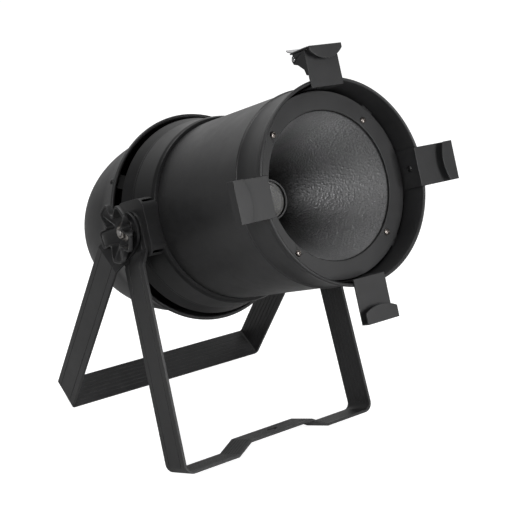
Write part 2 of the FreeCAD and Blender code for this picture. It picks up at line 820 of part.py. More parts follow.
heat_sink = body("heat_sink")
sink_line = (
    (0.0, chassis_at),
    (S.sink_core, chassis_at),
    (S.sink_core, sink_front - S.sink_base),
    (S.sink_radius, sink_front - S.sink_base),
    (S.sink_radius, sink_front),
    (0.0, sink_front),
)
revolve(heat_sink, outline(heat_sink, "XZ_Plane", sink_line))
fin_section = (
    (S.sink_core - 1.0, chassis_at),
    (S.sink_radius - 1.0, chassis_at),
    (S.sink_radius - 1.0, sink_front - S.sink_base * 0.5),
    (S.sink_core - 1.0, sink_front - S.sink_base * 0.5),
)
fin = pad(heat_sink, outline(heat_sink, "XZ_Plane", fin_section), S.fin_t, True)
polar(heat_sink, [fin], FINS)
node(heat_sink, "heat_sink", CAN)

chassis_plate = body("chassis_plate")
chassis_line = (
    (0.0, chassis_at - S.chassis_sheet),
    (tube_inner - FIT, chassis_at - S.chassis_sheet),
    (tube_inner - FIT, chassis_at),
    (0.0, chassis_at),
)
revolve(chassis_plate, outline(chassis_plate, "XZ_Plane", chassis_line))
vent = pocket(
    chassis_plate,
    circles(chassis_plate, "XY_Plane", [(S.vent_circle, 0.0, S.vent_radius)]),
    ring_at * 2,
)
polar(chassis_plate, [vent], VENTS)
node(chassis_plate, "chassis_plate", CAN)

driver_box = body("driver_box")
driver_front = chassis_at - S.chassis_sheet
driver_face = (
    (-S.driver_long / 2, -S.driver_tall / 2),
    (S.driver_long / 2, -S.driver_tall / 2),
    (S.driver_long / 2, S.driver_tall / 2),
    (-S.driver_long / 2, S.driver_tall / 2),
)
driver_sketch = outline(driver_box, "XY_Plane", driver_face, 0.0, driver_front - S.driver_deep)
pad(driver_box, driver_sketch, S.driver_deep)
fillet(driver_box, lambda edge: straight_along(edge, V(0, 0, 1)), S.driver_corner)
node(driver_box, "driver_box", CAN)

# --- cable gland at the dome's tip ---------------------------------------------

tip_at = dome_at - S.dome_deep
cable_gland = body("cable_gland")
gland_line = (
    (S.gland_bore, tip_at + S.gland_inside),
    (S.gland_radius, tip_at + S.gland_inside),
    (S.gland_radius, tip_at),
    (S.gland_radius + 4.0, tip_at),
    (S.gland_radius + 4.0, tip_at - S.gland_outside * 0.28),
    (S.gland_radius + 2.4, tip_at - S.gland_outside * 0.33),
    (S.gland_radius + 2.4, tip_at - S.gland_outside * 0.72),
    (S.gland_radius - 1.0, tip_at - S.gland_outside),
    (S.gland_bore, tip_at - S.gland_outside),
)
revolve(cable_gland, outline(cable_gland, "XZ_Plane", gland_line))
node(cable_gland, "cable_gland", CAN)

gland_nut = body("gland_nut")
gland_nut_at = tip_at + S.sheet + 1.4
hexagon = hexagon_outline(S.gland_radius + 4.5)
pad(gland_nut, outline(gland_nut, "XY_Plane", hexagon, 0.0, gland_nut_at), S.gland_nut_t)
nut_bore = circles(gland_nut, "XY_Plane", [(0.0, 0.0, S.gland_radius + FIT)], 0.0, gland_nut_at)
pocket(gland_nut, nut_bore, S.gland_nut_t * 4)
node(gland_nut, "gland_nut", CAN)

# --- pivot: plates, studs, bushes ------------------------------------------------

pivot_plates = body("pivot_plates")


def pad_face_outline(inset):
    """Rounded plate seen along the tilt axis."""
    long_ = S.pad_half_long - inset
    tall = S.pad_half_tall - inset
    return (
        (-tall, -long_),
        (tall, -long_),
        (tall, long_),
        (-tall, long_),
    )


pad(pivot_plates, outline(pivot_plates, "YZ_Plane", pad_face_outline(0.0)), pad_face * 2, True)
fillet(pivot_plates, lambda edge: straight_along(edge, V(1, 0, 0)), S.pad_corner)
hollow_sketch = outline(pivot_plates, "YZ_Plane", pad_face_outline(S.pad_sheet))
pocket(pivot_plates, hollow_sketch, (pad_face - S.pad_sheet) * 2)
saddle = [(0.0, collar_front + 20.0), (S.tube_radius + FIT, collar_front + 20.0)]
saddle += [(radius + FIT, along) for radius, along in collar_line]
saddle += [(flare_radius, S.collar_back - 20.0), (0.0, S.collar_back - 20.0)]
groove(pivot_plates, outline(pivot_plates, "XZ_Plane", saddle))
stud_hole = circles(pivot_plates, "YZ_Plane", [(0.0, 0.0, S.stud_radius + FIT)])
pocket(pivot_plates, stud_hole, S.tube_radius * 4)
node(pivot_plates, "pivot_plates", CAN)

pivot_studs = body("pivot_studs")
stud_seat = waist_radius - S.sheet - 2.0
stud_tip = washer_out + S.knob_floor + S.nut_tall + 1.5
stud_line = (
    (stud_seat - S.stud_head_t, 0.0),
    (stud_seat - S.stud_head_t, S.stud_head),
    (stud_seat, S.stud_head),
    (stud_seat, S.stud_radius),
    (stud_tip - 1.0, S.stud_radius),
    (stud_tip, S.stud_radius - 1.0),
    (stud_tip, 0.0),
)
stud = revolve(pivot_studs, outline(pivot_studs, "XZ_Plane", stud_line), "H_Axis")
polar(pivot_studs, [stud], 2)
node(pivot_studs, "pivot_studs", CAN)

friction_washers = body("friction_washers")
clutch_line = (
    (arm_out_front, hole_on_stud),
    (arm_out_front, S.clutch_radius),
    (arm_in_rear, S.clutch_radius),
    (arm_in_rear, hole_on_stud),
)
clutch = revolve(friction_washers, outline(friction_washers, "XZ_Plane", clutch_line), "H_Axis")
polar(friction_washers, [clutch], 2)
node(friction_washers, "friction_washers", CAN)

# --- knobs ------------------------------------------------------------------------

LOBES = 5
LOBE_TURN = 360.0 / LOBES
UP = "placement(vector(0; %s; %s); rotation(vector(1; 0; 0); 0))" % (
    S.set_back.text,
    axis_height.text,
)


def star_outline(reach, valley, blunt):
    """Five blunt lobes round the stud, each with a flat of a given half angle."""
    corners = []
    for lobe in range(LOBES):
        middle = S.knob_phase + LOBE_TURN * lobe
        for turn, distance in ((-blunt, reach), (blunt, reach), (LOBE_TURN / 2, valley)):
            corners.append((distance * cosine(middle + turn), distance * sine(middle + turn)))
    return corners


def washer(side, label):
    """Plain washer between a knob and the rear arm."""
    made = body(label)
    line = (
        (side * arm_out_rear, hole_on_stud),
        (side * arm_out_rear, S.washer_radius),
        (side * washer_out, S.washer_radius),
        (side * washer_out, hole_on_stud),
    )
    revolve(made, outline(made, "XZ_Plane", line), "H_Axis")
    return node(made, label, UP)


def knob_solid(name, side, star, low, cone):
    """Star outline raised to the knob's face and trimmed under by a cone."""
    made = body(name)
    sketch = outline(made, "YZ_Plane", star, 0.0, side * low)
    pad(made, sketch, washer_out + S.knob_deep - low, False, side < 0)
    fillet(made, lambda edge: straight_along(edge, V(1, 0, 0)), S.knob_round)
    below = washer_out - 5.0
    trim = [(side * below, cone[0][1]), (side * cone[0][0], cone[0][1])]
    trim += [(side * cone[1][0], cone[1][1]), (side * cone[1][0], cone[1][1] + 20.0)]
    trim.append((side * below, cone[1][1] + 20.0))
    groove(made, outline(made, "XZ_Plane", trim), "H_Axis")
    return made


def knob(side, label):
    """Dished star knob, open outwards, that clears the arm's step underneath."""
    wall = S.knob_wall
    rim_at = washer_out + S.knob_deep - S.knob_rim
    outer_cone = ((washer_out, S.knob_foot), (rim_at, S.knob_radius + 0.5))
    inner_cone = ((washer_out + S.knob_floor, S.knob_foot - 1.0), (rim_at + wall, S.knob_radius - 1.5))
    star = star_outline(S.knob_radius, S.knob_foot + 2.4, 17.0)
    hollow = star_outline(S.knob_radius - wall * 1.2, S.knob_foot - 0.4, 15.0)
    solid = knob_solid(label + "_star", side, star, washer_out, outer_cone)
    dish = knob_solid(label + "_dish", side, hollow, washer_out + S.knob_floor, inner_cone)
    dished = cut(label + "_dished", solid, dish)
    bore = rod(label + "_bore", hole_on_stud, S.tube_radius * 4, (-S.tube_radius * 2, 0, 0), "x")
    return node(cut(label + "_cut", dished, bore), label, UP)


def knob_nut(side, label):
    """Flanged nut on the knob's floor."""
    made = body(label)
    seat = washer_out + S.knob_floor
    flange = circles(made, "YZ_Plane", [(0.0, 0.0, S.nut_flange)], 0.0, side * seat)
    pad(made, flange, S.nut_flange_t, False, side < 0)
    corners = hexagon_outline(S.nut_flats / math.sqrt(3.0))
    head = outline(made, "YZ_Plane", corners, 0.0, side * (seat + S.nut_flange_t * 0.5))
    pad(made, head, S.nut_tall - S.nut_flange_t * 0.5, False, side < 0)
    pocket(made, circles(made, "YZ_Plane", [(0.0, 0.0, hole_on_stud)]), S.tube_radius * 4)
    return node(made, label, UP)


for side, word in ((-1, "left"), (1, "right")):
    washer(side, "knob_washer_" + word)
    knob(side, "knob_" + word)
    knob_nut(side, "knob_nut_" + word)

# --- brackets ---------------------------------------------------------------------


def tan_half(run, rise):
    """Tangent of half the angle whose slope is rise over run."""
    slope = rise / run
    return (root(1 + slope * slope) - 1) / slope


def strip_grooves(owner, inner_line, outer_line):
    """Fine grooves along a strip: several inside it, two near its outer edges."""
    half = S.strip_w / 2
    for index in range(6):
        lift = S.rib_pitch * (index - 2.5)
        sketch = outline(owner, "XZ_Plane", inner_line, 0.0, lift)
        pocket(owner, sketch, S.rib_wide)
    for sign in (-1, 1):
        lift = sign * (half - S.edge_groove)
        sketch = outline(owner, "XZ_Plane", outer_line, 0.0, lift)
        pocket(owner, sketch, S.rib_wide)


def mirror_line(line):
    """A line on the +x side, carried on round to the -x side."""
    return list(line) + [(-x, z) for x, z in reversed(line)]


def joggle_bend(foot, head, step):
    """How far the inner line's bends sit below the outer line's at an arm's step."""
    return tan_half(foot - head, step) * S.strip_t


def bracket_path(front):
    """Outer and inner lines of a bracket's +x half, from arm end to bar middle."""
    top = S.strip_w / 2
    thick = S.strip_t
    if not front:
        bend = joggle_bend(S.joggle_low, S.joggle_rear, half_rear - arm_out_rear)
        outer = [
            (arm_out_rear, top),
            (arm_out_rear, -S.joggle_rear),
            (half_rear, -S.joggle_low),
            (half_rear, -leg_rear),
        ]
        inner = [
            (arm_in_rear, top),
            (arm_in_rear, -S.joggle_rear - bend),
            (half_rear - thick, -S.joggle_low - bend),
            (half_rear - thick, -leg_rear + thick),
        ]
        return outer, inner
    bend = joggle_bend(S.joggle_low, S.joggle_high, S.joggle_in)
    arm_foot = arm_out_front + S.joggle_in
    bar_bend = tan_half(S.raise_outer - S.raise_inner, S.raise_rise) * thick
    low = -S.leg_front
    outer = [
        (arm_out_front, top),
        (arm_out_front, -S.joggle_high),
        (arm_foot, -S.joggle_low),
        (half_front, low),
        (S.raise_outer, low),
        (S.raise_inner, low + S.raise_rise),
    ]
    inner = [
        (arm_in_front, top),
        (arm_in_front, -S.joggle_high - bend),
        (arm_foot - thick, -S.joggle_low - bend),
        (half_front - thick, low + thick),
        (S.raise_outer - bar_bend, low + thick),
        (S.raise_inner - bar_bend, low + S.raise_rise + thick),
    ]
    return outer, inner


def bracket(front, label, frame, corner):
    """U bracket bent from ribbed strip, with half-round arm ends and pivot holes."""
    made = body(label)
    outer, inner = bracket_path(front)
    section = mirror_line(outer) + mirror_line(inner)[::-1]
    pad(made, outline(made, "XZ_Plane", section), S.strip_w, True)
    reach = 1.0
    along = V(0, 1, 0)
    half = (half_front if front else half_rear).value
    low = (-S.leg_front if front else -leg_rear).value
    thick = S.strip_t.value

    def outside(edge):
        return straight_along(edge, along) and near(edge, half, low, reach)

    def inside(edge):
        return straight_along(edge, along) and near(edge, half - thick, low + thick, reach)

    fillet(made, outside, corner)
    fillet(made, inside, corner - S.strip_t)
    deep = S.rib_deep
    band_in = mirror_line(inner) + mirror_line([(x + deep, z - deep) for x, z in inner])[::-1]
    band_out = mirror_line([(x - deep, z + deep) for x, z in outer]) + mirror_line(outer)[::-1]
    strip_grooves(made, shift_top(band_in, 1.0), shift_top(band_out, 1.0))
    half_w = S.strip_w / 2
    pocket(made, end_corners(made, half_w), S.tube_radius * 4)
    pocket(made, circles(made, "YZ_Plane", [(0.0, 0.0, hole_on_stud)]), S.tube_radius * 4)
    if front:
        bore = circles(made, "XY_Plane", [(0.0, 0.0, S.clamp_bore)], 0.0, -S.leg_front)
        pocket(made, bore, S.strip_w)
    return node(made, label, frame)


def shift_top(points, extra):
    """Carry the two ends of a groove's band a little past the arm ends."""
    top = (S.strip_w / 2).value
    moved = []
    for across, up in points:
        if number_value(up) > top - 2.0:
            moved.append((across, S.strip_w / 2 + extra))
        else:
            moved.append((across, up))
    return moved


def end_corners(owner, half):
    """What a square arm end has outside its half-round, as two closed outlines."""
    made = new_sketch(owner, "YZ_Plane")
    reach = half.value
    far = reach + 2.0
    turns = [(reach, 0), (far, 0), (far, far), (-far, far), (-far, 0), (-reach, 0)]
    for start, end in zip(turns, turns[1:]):
        made.addGeometry(Part.LineSegment(V(*start, 0), V(*end, 0)), False)
    circle = Part.Circle(V(0, 0, 0), V(0, 0, 1), reach)
    made.addGeometry(Part.ArcOfCircle(circle, 0.0, math.pi), False)
    for index in range(4):
        made.addConstraint(Sketcher.Constraint("Coincident", index, 2, index + 1, 1))
    made.addConstraint(Sketcher.Constraint("Coincident", 5, 1, 0, 1))
    made.addConstraint(Sketcher.Constraint("Coincident", 5, 2, 4, 2))
    pin_point(made, 5, 3, (0.0, 0.0))
    row = made.addConstraint(Sketcher.Constraint("Radius", 5, reach))
    made.setExpression("Constraints[%d]" % row, half.text)
    out = half + 2.0
    for geometry, point in ((1, (out, 0.0)), (2, (out, out)), (3, (-out, out)), (4, (-out, 0.0))):
        pin_point(made, geometry, 1, point)
    made.addConstraint(Sketcher.Constraint("PointOnObject", 0, 1, -1))
    made.addConstraint(Sketcher.Constraint("PointOnObject", 4, 2, -1))
    return made


bracket(True, "front_bracket", FRONT, S.corner_front)
bracket(False, "rear_bracket", REAR, S.corner_rear)

# --- colour-frame clips ---------------------------------------------------------------


tab_out = neck_inner - S.play


def clip_rest(name, reach):
    """Tab inside the tube and the upright that stands out over the rim, along +y."""
    half = S.clip_w / 2
    tab_back = clip_plate - S.clip_tab
    tab_ring = cut(
        name + "_ring",
        rod(name + "_ring_out", tab_out, clip_front - tab_back, (0, 0, tab_back)),
        rod(name + "_ring_in", tab_out - S.clip_t, S.clip_tab * 2, (0, 0, tab_back - 5.0)),
    )
    window_low = (-half, tab_out * 0.5, tab_back - 1.0)
    window = box(name + "_window", window_low, (half, tab_out + 5.0, clip_front))
    tab = common(name + "_tab", [tab_ring, window])
    root_at = root(tab_out * tab_out - half * half) - S.clip_t
    upright = box(name + "_upright", (-half, root_at, clip_plate), (half, reach, clip_front))
    return fuse(name + "_rest", [tab, upright])


def clip_hole(name, base):
    """Rivet hole through a clip's tab."""
    start = (0, S.tube_radius * 0.5, rivet_at)
    hole = rod(name + "_hole", rivet_hole, S.tube_radius, start, "y")
    return cut(name + "_cut", base, hole)


def lip(name, mid, sag, reach, low, high):
    """Retaining lip whose inner edge bows towards the can's axis."""
    half = S.clip_w / 2
    bow = (half * half + sag * sag) / (sag * 2)
    slab = box(name + "_slab", (-half, mid - 1.0, low), (half, reach, high))
    disc = rod(name + "_disc", bow, high - low, (0, mid + bow, low))
    return common(name, [slab, disc])


def fixed_clip(label, turn):
    """Side clip: tab, upright, outer wall and lip round the frame's slot."""
    half = S.clip_w / 2
    wall_in = clip_reach - S.clip_t
    rest = clip_rest(label, clip_reach)
    wall = box(label + "_wall", (-half, wall_in, clip_plate), (half, clip_reach, lip_front))
    edge = lip(label + "_lip", clip_lip_mid, S.clip_lip_sag, clip_reach, lip_back, lip_front)
    made = clip_hole(label, fuse(label + "_all", [rest, wall, edge]))
    turned = "%s * placement(vector(0; 0; 0); rotation(vector(0; 0; 1); %g))" % (CAN, turn)
    return node(made, label, turned)


fixed_clip("clip_left", 90)
fixed_clip("clip_bottom", 180)
fixed_clip("clip_right", 270)

ear_top = latch_reach - S.clip_t - S.play * 2 - 0.4
ear_round = ear_top - pin_up
ear_out = S.clip_w / 2 - 0.5
ear_in = ear_out - S.clip_t
pin_hole = S.pin_radius + S.pin_play


def ear_outline(points, name, inner, outer, side):
    """Flat ear across the pin, between two distances from the middle."""
    made = body(name)
    sketch = outline(made, "YZ_Plane", points, 0.0, side * inner)
    pad(made, sketch, outer - inner, False, side < 0)
    return made


clip_ears = []
for side, word in ((-1, "left"), (1, "right")):
    ear_points = (
        (pin_up - 18.5, clip_front),
        (ear_top, clip_front),
        (ear_top, pin_at),
        (pin_up + ear_round * 0.7, pin_at - ear_round * 0.7),
        (pin_up, pin_at - ear_round),
        (pin_up - ear_round * 0.9, pin_at - ear_round * 0.6),
        (pin_up - ear_round * 1.3, pin_at + 3.0),
        (pin_up - 12.5, pin_at + 11.0),
        (pin_up - 18.5, pin_at + 13.0),
    )
    clip_ears.append(ear_outline(ear_points, "clip_top_ear_" + word, ear_in, ear_out, side))
clip_top_fuse = fuse("clip_top_fuse", [clip_rest("clip_top", ear_top)] + clip_ears)
pin_start = (-S.clip_w, pin_up, pin_at)
clip_top_pin = rod("clip_top_pin", S.pin_radius + FIT, S.clip_w * 2, pin_start, "x")
clip_top_bored = cut("clip_top_bored", clip_top_fuse, clip_top_pin)
node(clip_hole("clip_top", clip_top_bored), "clip_top", CAN)

rivet_out = S.tube_radius + S.rim_flare * 0.25
rivet_in = tab_out - S.clip_t - 0.1
clip_rivets = body("clip_rivets")
rivet_line = (
    (rivet_in - S.rivet_rise, rivet_at),
    (rivet_out + S.rivet_rise, rivet_at),
    (rivet_out + S.rivet_rise * 0.8, rivet_at + S.rivet_head * 0.6),
    (rivet_out + 0.3, rivet_at + S.rivet_head),
    (rivet_out + 0.3, rivet_at + S.rivet_radius),
    (rivet_in, rivet_at + S.rivet_radius),
    (rivet_in, rivet_at + S.rivet_head),
    (rivet_in - S.rivet_rise * 0.75, rivet_at + S.rivet_head * 0.7),
)
rivet = revolve(clip_rivets, outline(clip_rivets, "XZ_Plane", rivet_line), "Edge1")
polar(clip_rivets, [rivet], 4)
node(clip_rivets, "clip_rivets", CAN)

# --- top latch ------------------------------------------------------------------------

hook_half = S.clip_w / 2 - 0.5
hook_low = latch_reach - S.clip_t
hook_back = pin_at - 5.5
hook_top = box(
    "latch_hook_top", (-hook_half, hook_low, hook_back), (hook_half, latch_reach, lip_front)
)
hook_lip = lip("latch_hook_lip", latch_lip_mid, 9.0, latch_reach, lip_back, lip_front)
hook_ears = []
ear_clear = S.play * 2
for side, word in ((-1, "left"), (1, "right")):
    hook_points = (
        (hook_low + 0.5, pin_at - 4.5),
        (hook_low + 0.5, pin_at + 9.0),
        (pin_up, pin_at + 5.0),
        (pin_up - 3.6, pin_at + 3.6),
        (pin_up - 5.0, pin_at),
        (pin_up - 3.6, pin_at - 3.6),
        (pin_up, pin_at - 4.8),
    )
    inner = ear_in - ear_clear - S.clip_t
    hook_ears.append(
        ear_outline(hook_points, "latch_hook_ear_" + word, inner, ear_in - ear_clear, side)
    )
hook_all = fuse("latch_hook_all", [hook_top, hook_lip] + hook_ears)
hook_bore = rod("latch_hook_bore", pin_hole, S.clip_w * 2, pin_start, "x")
node(cut("latch_hook_cut", hook_all, hook_bore), "latch_hook", CAN)

latch_tab = body("latch_tab")
thumb_up = latch_reach
thumb_end = pin_at - S.thumb_reach
thumb_points = (
    (thumb_up, pin_at + 18.0),
    (thumb_up, hook_back),
    (thumb_up + 2.0, thumb_end + 2.0),
    (thumb_up + 4.2, thumb_end),
    (thumb_up + 4.2 + S.thumb_sheet * 0.8, thumb_end + S.thumb_sheet * 0.6),
    (thumb_up + 2.0 + S.thumb_sheet, thumb_end + 3.0),
    (thumb_up + S.thumb_sheet, hook_back + 0.4),
    (thumb_up + S.thumb_sheet, pin_at + 18.0),
)
pad(latch_tab, outline(latch_tab, "YZ_Plane", thumb_points), hook_half * 2 - 5.0, True)
node(latch_tab, "latch_tab", CAN)

latch_pin = body("latch_pin")
pin_half = ear_out + 1.6
pin_section = (
    (-pin_half, S.pin_radius),
    (-pin_half, 0.0),
    (pin_half + 0.4, 0.0),
    (pin_half + 0.4, S.pin_head - 0.8),
    (pin_half - 0.6, S.pin_head),
    (ear_out + FIT, S.pin_head),
    (ear_out + FIT, S.pin_radius),
)
revolve(latch_pin, outline(latch_pin, "XZ_Plane", pin_section), "H_Axis")
ON_PIN = CAN + " * placement(vector(0; %s; %s); rotation(vector(1; 0; 0); 0))" % (
    pin_up.text,
    pin_at.text,
)
node(latch_pin, "latch_pin", ON_PIN)

latch_spring = body("latch_spring")
coil_half = ear_in - ear_clear - S.clip_t - 3.0
coil_in = S.pin_radius + 0.5
coil_section = (
    (-coil_half, coil_in),
    (coil_half, coil_in),
    (coil_half, coil_in + S.wire),
    (-coil_half, coil_in + S.wire),
)
revolve(latch_spring, outline(latch_spring, "XZ_Plane", coil_section), "H_Axis")
leg_tip = hook_low - pin_up
leg_points = (
    (coil_in + 0.1, 0.0),
    (coil_in + S.wire - 0.1, 0.0),
    (leg_tip, 9.0),
    (leg_tip - S.wire * 0.9, 9.6),
)
leg = outline(latch_spring, "YZ_Plane", leg_points, 0.0, coil_half - S.wire)
pad(latch_spring, leg, S.wire * 0.9)
node(latch_spring, "latch_spring", ON_PIN)

# --- check and write -------------------------------------------------------------------


def main():
    """Recompute, check every object and write one STEP file for each sub-part."""
    DOC.recompute()
    failed = []
    for thing in DOC.Objects:
        if "Invalid" in thing.State or "Error" in thing.State:
            failed.append("%s %s %s" % (thing.Name, thing.Label, thing.State))
    for thing in NODES:
        shape = thing.Shape
        if shape.isNull() or not shape.isValid() or not shape.Solids:
            failed.append("bad shape " + thing.Label)
    if failed:
        raise RuntimeError("; ".join(failed))
    os.makedirs("parts", exist_ok=True)
    for thing in NODES:
        thing.Shape.exportStep("parts/%s.step" % thing.Label)
        limits = thing.Shape.BoundBox
        print(
            "%-18s solids %d volume %10.1f x %7.1f %7.1f y %7.1f %7.1f z %7.1f %7.1f"
            % (
                thing.Label,
                len(thing.Shape.Solids),
                thing.Shape.Volume,
                limits.XMin,
                limits.XMax,
                limits.YMin,
                limits.YMax,
                limits.ZMin,
                limits.ZMax,
            )
        )


main()
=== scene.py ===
"""Looks of a stage spotlight on a folding floor bracket.

Lengths of the lantern's sub-assemblies are in millimetres, in the can's own space or in a
clamp's, and are turned into metres in the row frame when a mesh is made. The finishes and
the studio are in metres.
"""

import json
import logging
import math
from abc import ABC, abstractmethod
from dataclasses import dataclass, field
from enum import Enum

import bmesh
import bpy
from mathutils import Matrix, Vector, noise

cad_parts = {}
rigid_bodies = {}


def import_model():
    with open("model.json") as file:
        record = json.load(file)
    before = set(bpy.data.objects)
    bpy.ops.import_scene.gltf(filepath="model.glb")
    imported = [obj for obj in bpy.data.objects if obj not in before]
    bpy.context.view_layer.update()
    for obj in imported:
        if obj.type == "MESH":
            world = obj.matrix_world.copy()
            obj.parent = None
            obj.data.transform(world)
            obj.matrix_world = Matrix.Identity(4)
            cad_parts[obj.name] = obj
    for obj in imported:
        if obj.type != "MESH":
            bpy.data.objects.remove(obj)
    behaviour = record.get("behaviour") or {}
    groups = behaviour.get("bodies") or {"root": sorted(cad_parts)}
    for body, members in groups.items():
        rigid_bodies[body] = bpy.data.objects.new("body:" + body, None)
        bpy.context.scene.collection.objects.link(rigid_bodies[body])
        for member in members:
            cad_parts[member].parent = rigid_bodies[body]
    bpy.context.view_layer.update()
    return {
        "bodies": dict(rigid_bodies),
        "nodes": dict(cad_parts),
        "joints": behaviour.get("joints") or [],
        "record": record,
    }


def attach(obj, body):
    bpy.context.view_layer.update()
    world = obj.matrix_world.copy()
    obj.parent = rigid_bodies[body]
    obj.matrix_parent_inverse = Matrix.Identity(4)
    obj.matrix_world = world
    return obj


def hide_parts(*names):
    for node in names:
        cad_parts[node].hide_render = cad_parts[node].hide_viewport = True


LOG = logging.getLogger("spotlight")

Colour = tuple[float, float, float]
Point = tuple[float, float]

MM = 0.001


class Shading(Enum):
    """How a mesh's faces are shaded."""

    FLAT = 0.0
    CRISP = 30.0
    SOFT = 50.0


class Body(Enum):
    """The moving bodies that the newly drawn pieces ride on."""

    CAN = "can"
    LATCH = "latch"
    KNOB_LEFT = "knob_left"
    KNOB_RIGHT = "knob_right"


class Slot(Enum):
    """The record's material slots that the newly drawn pieces are listed under."""

    COAT = "black_coat"
    ZINC = "zinc"
    BRIGHT_SCREW = "bright_screw"
    REFLECTOR = "reflector_metal"
    PLASTIC = "black_plastic"
    WIRE = "spring_wire"


# --- spaces -------------------------------------------------------------------


@dataclass(frozen=True)
class Space:
    """A local frame with its origin on the tilt axis."""

    matrix: Matrix

    @classmethod
    def of_can(cls, frame: dict) -> "Space":
        """Find the can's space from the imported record.


        Returns:
            A space with x along X, y up the can and z out of its mouth.
        """
        tilt_joint = next(j for j in frame["joints"] if j["name"] == "can_tilt")
        mounts = frame["record"]["mounts"]
        up = Vector(next(m for m in mounts if m["name"] == "colour_frame_slot")["axis"]).normalized()
        across = Vector((1.0, 0.0, 0.0))
        out = across.cross(up)
        matrix = Matrix((across, up, out)).transposed().to_4x4()
        matrix.translation = Vector(tilt_joint["pos_m"])
        return cls(matrix)

    def place(self, across: float, up: float, along: float) -> Vector:
        """Turn a local place in millimetres into the row frame in metres.

        Args:
            across: Local x.
            up: Local y.
            along: Local z.

        Returns:
            The place in the row frame.
        """
        return self.matrix @ Vector((across * MM, up * MM, along * MM))

    def turned(self, angle: float) -> "Space":
        """This space turned about its own z axis.

        Args:
            angle: Turn in degrees.

        Returns:
            The turned space.
        """
        return Space(self.matrix @ Matrix.Rotation(math.radians(angle), 4, "Z"))

    def moved(self, across: float, up: float, along: float) -> "Space":
        """This space with its origin moved.

        Args:
            across: Move along local x, in millimetres.
            up: Move along local y.
            along: Move along local z.

        Returns:
            The moved space.
        """
        return Space(self.matrix @ Matrix.Translation((across * MM, up * MM, along * MM)))


# --- mesh tools ---------------------------------------------------------------


def round_steps(count: int) -> list[Point]:
    """Even steps round a circle.

    Args:
        count: How many steps.

    Returns:
        Cosine and sine of each step's angle.
    """
    turns = [math.tau * step / count for step in range(count)]
    return [(math.cos(turn), math.sin(turn)) for turn in turns]


def turn_outwards(shape: bmesh.types.BMesh) -> None:
    """Turn the faces of every closed island outwards.

    Args:
        shape: The mesh being edited.
    """
    shape.faces.index_update()
    bmesh.ops.recalc_face_normals(shape, faces=shape.faces)
    seen = [False] * len(shape.faces)
    for start in shape.faces:
        if seen[start.index]:
            continue
        seen[start.index] = True
        island, waiting = [], [start]
        while waiting:
            face = waiting.pop()
            island.append(face)
            for edge in face.edges:
                for other in edge.link_faces:
                    if not seen[other.index]:
                        seen[other.index] = True
                        waiting.append(other)
        held = sum(face.calc_center_median().dot(face.normal) * face.calc_area() for face in island)
        if held < 0.0:
            bmesh.ops.reverse_faces(shape, faces=island)


@dataclass
class MeshDraft:
    """Vertices and faces gathered before they become an object."""

    vertices: list[Vector] = field(default_factory=list)
    faces: list[tuple[int, ...]] = field(default_factory=list)

    def ring_loft(self, rings: list[list[Vector]], close: bool = False, caps: bool = False) -> None:
        """Skin a row of rings that hold the same number of points.

        Args:
            rings: Rings of points in order.
            close: Join the last ring to the first.
            caps: Close the first and last rings with a face.
        """
        base = len(self.vertices)
        count = len(rings[0])
        for ring in rings:
            self.vertices.extend(ring)
        pairs = len(rings) if close else len(rings) - 1
        for row in range(pairs):
            near = base + row * count
            far = base + ((row + 1) % len(rings)) * count
            for column in range(count):
                after = (column + 1) % count
                self.faces.append((near + column, near + after, far + after, far + column))
        if caps:
            self.faces.append(tuple(base + index for index in reversed(range(count))))
            last = base + (len(rings) - 1) * count
            self.faces.append(tuple(last + index for index in range(count)))

    def build(self, name: str, shading: Shading = Shading.CRISP) -> bpy.types.Object:
        """Make the object.

        Args:
            name: Name of the object and its mesh.
            shading: How its faces are shaded.

        Returns:
            The new object, linked to the scene.
        """
        mesh = bpy.data.meshes.new(name)
        mesh.from_pydata([tuple(v) for v in self.vertices], [], self.faces)
        mesh.validate()
        shape = bmesh.new()
        shape.from_mesh(mesh)
        turn_outwards(shape)
        shape.to_mesh(mesh)
        shape.free()
        mesh.update()
        if shading is not Shading.FLAT:
            mesh.polygons.foreach_set("use_smooth", [True] * len(mesh.polygons))
            mesh.set_sharp_from_angle(angle=math.radians(shading.value))
        made = bpy.data.objects.new(name, mesh)
        bpy.context.scene.collection.objects.link(made)
        return made


def soften(line: list[Point], radii: float | list[float], steps: int = 4) -> list[Point]:
    """Round the inner corners of an open line.

    Args:
        line: Corners of the line.
        radii: One radius for all corners, or one for each corner.
        steps: Segments in each arc.

    Returns:
        The line with arcs for corners.
    """
    sizes = radii if isinstance(radii, list) else [radii] * len(line)
    made = [line[0]]
    for index in range(1, len(line) - 1):
        before, here, after = (Vector(line[index + shift]) for shift in (-1, 0, 1))
        back, ahead = before - here, after - here
        turn = math.pi - back.angle(ahead)
        radius = sizes[index]
        if radius <= 0.0 or turn < math.radians(3.0):
            made.append(line[index])
            continue
        reach = min(radius * math.tan(turn / 2), back.length * 0.45, ahead.length * 0.45)
        start, end = here + back.normalized() * reach, here + ahead.normalized() * reach
        for step in range(steps + 1):
            share = step / steps
            point = start.lerp(here, share).lerp(here.lerp(end, share), share)
            made.append((point.x, point.y))
    made.append(line[-1])
    return made


def arc(centre: Point, radius: float, start: float, end: float, steps: int) -> list[Point]:
    """Points along an arc.

    Args:
        centre: Its centre.
        radius: Its radius.
        start: First angle in degrees.
        end: Last angle in degrees.
        steps: Number of segments.

    Returns:
        The points, both ends included.
    """
    points = []
    for step in range(steps + 1):
        angle = math.radians(start + (end - start) * step / steps)
        points.append((centre[0] + radius * math.cos(angle), centre[1] + radius * math.sin(angle)))
    return points


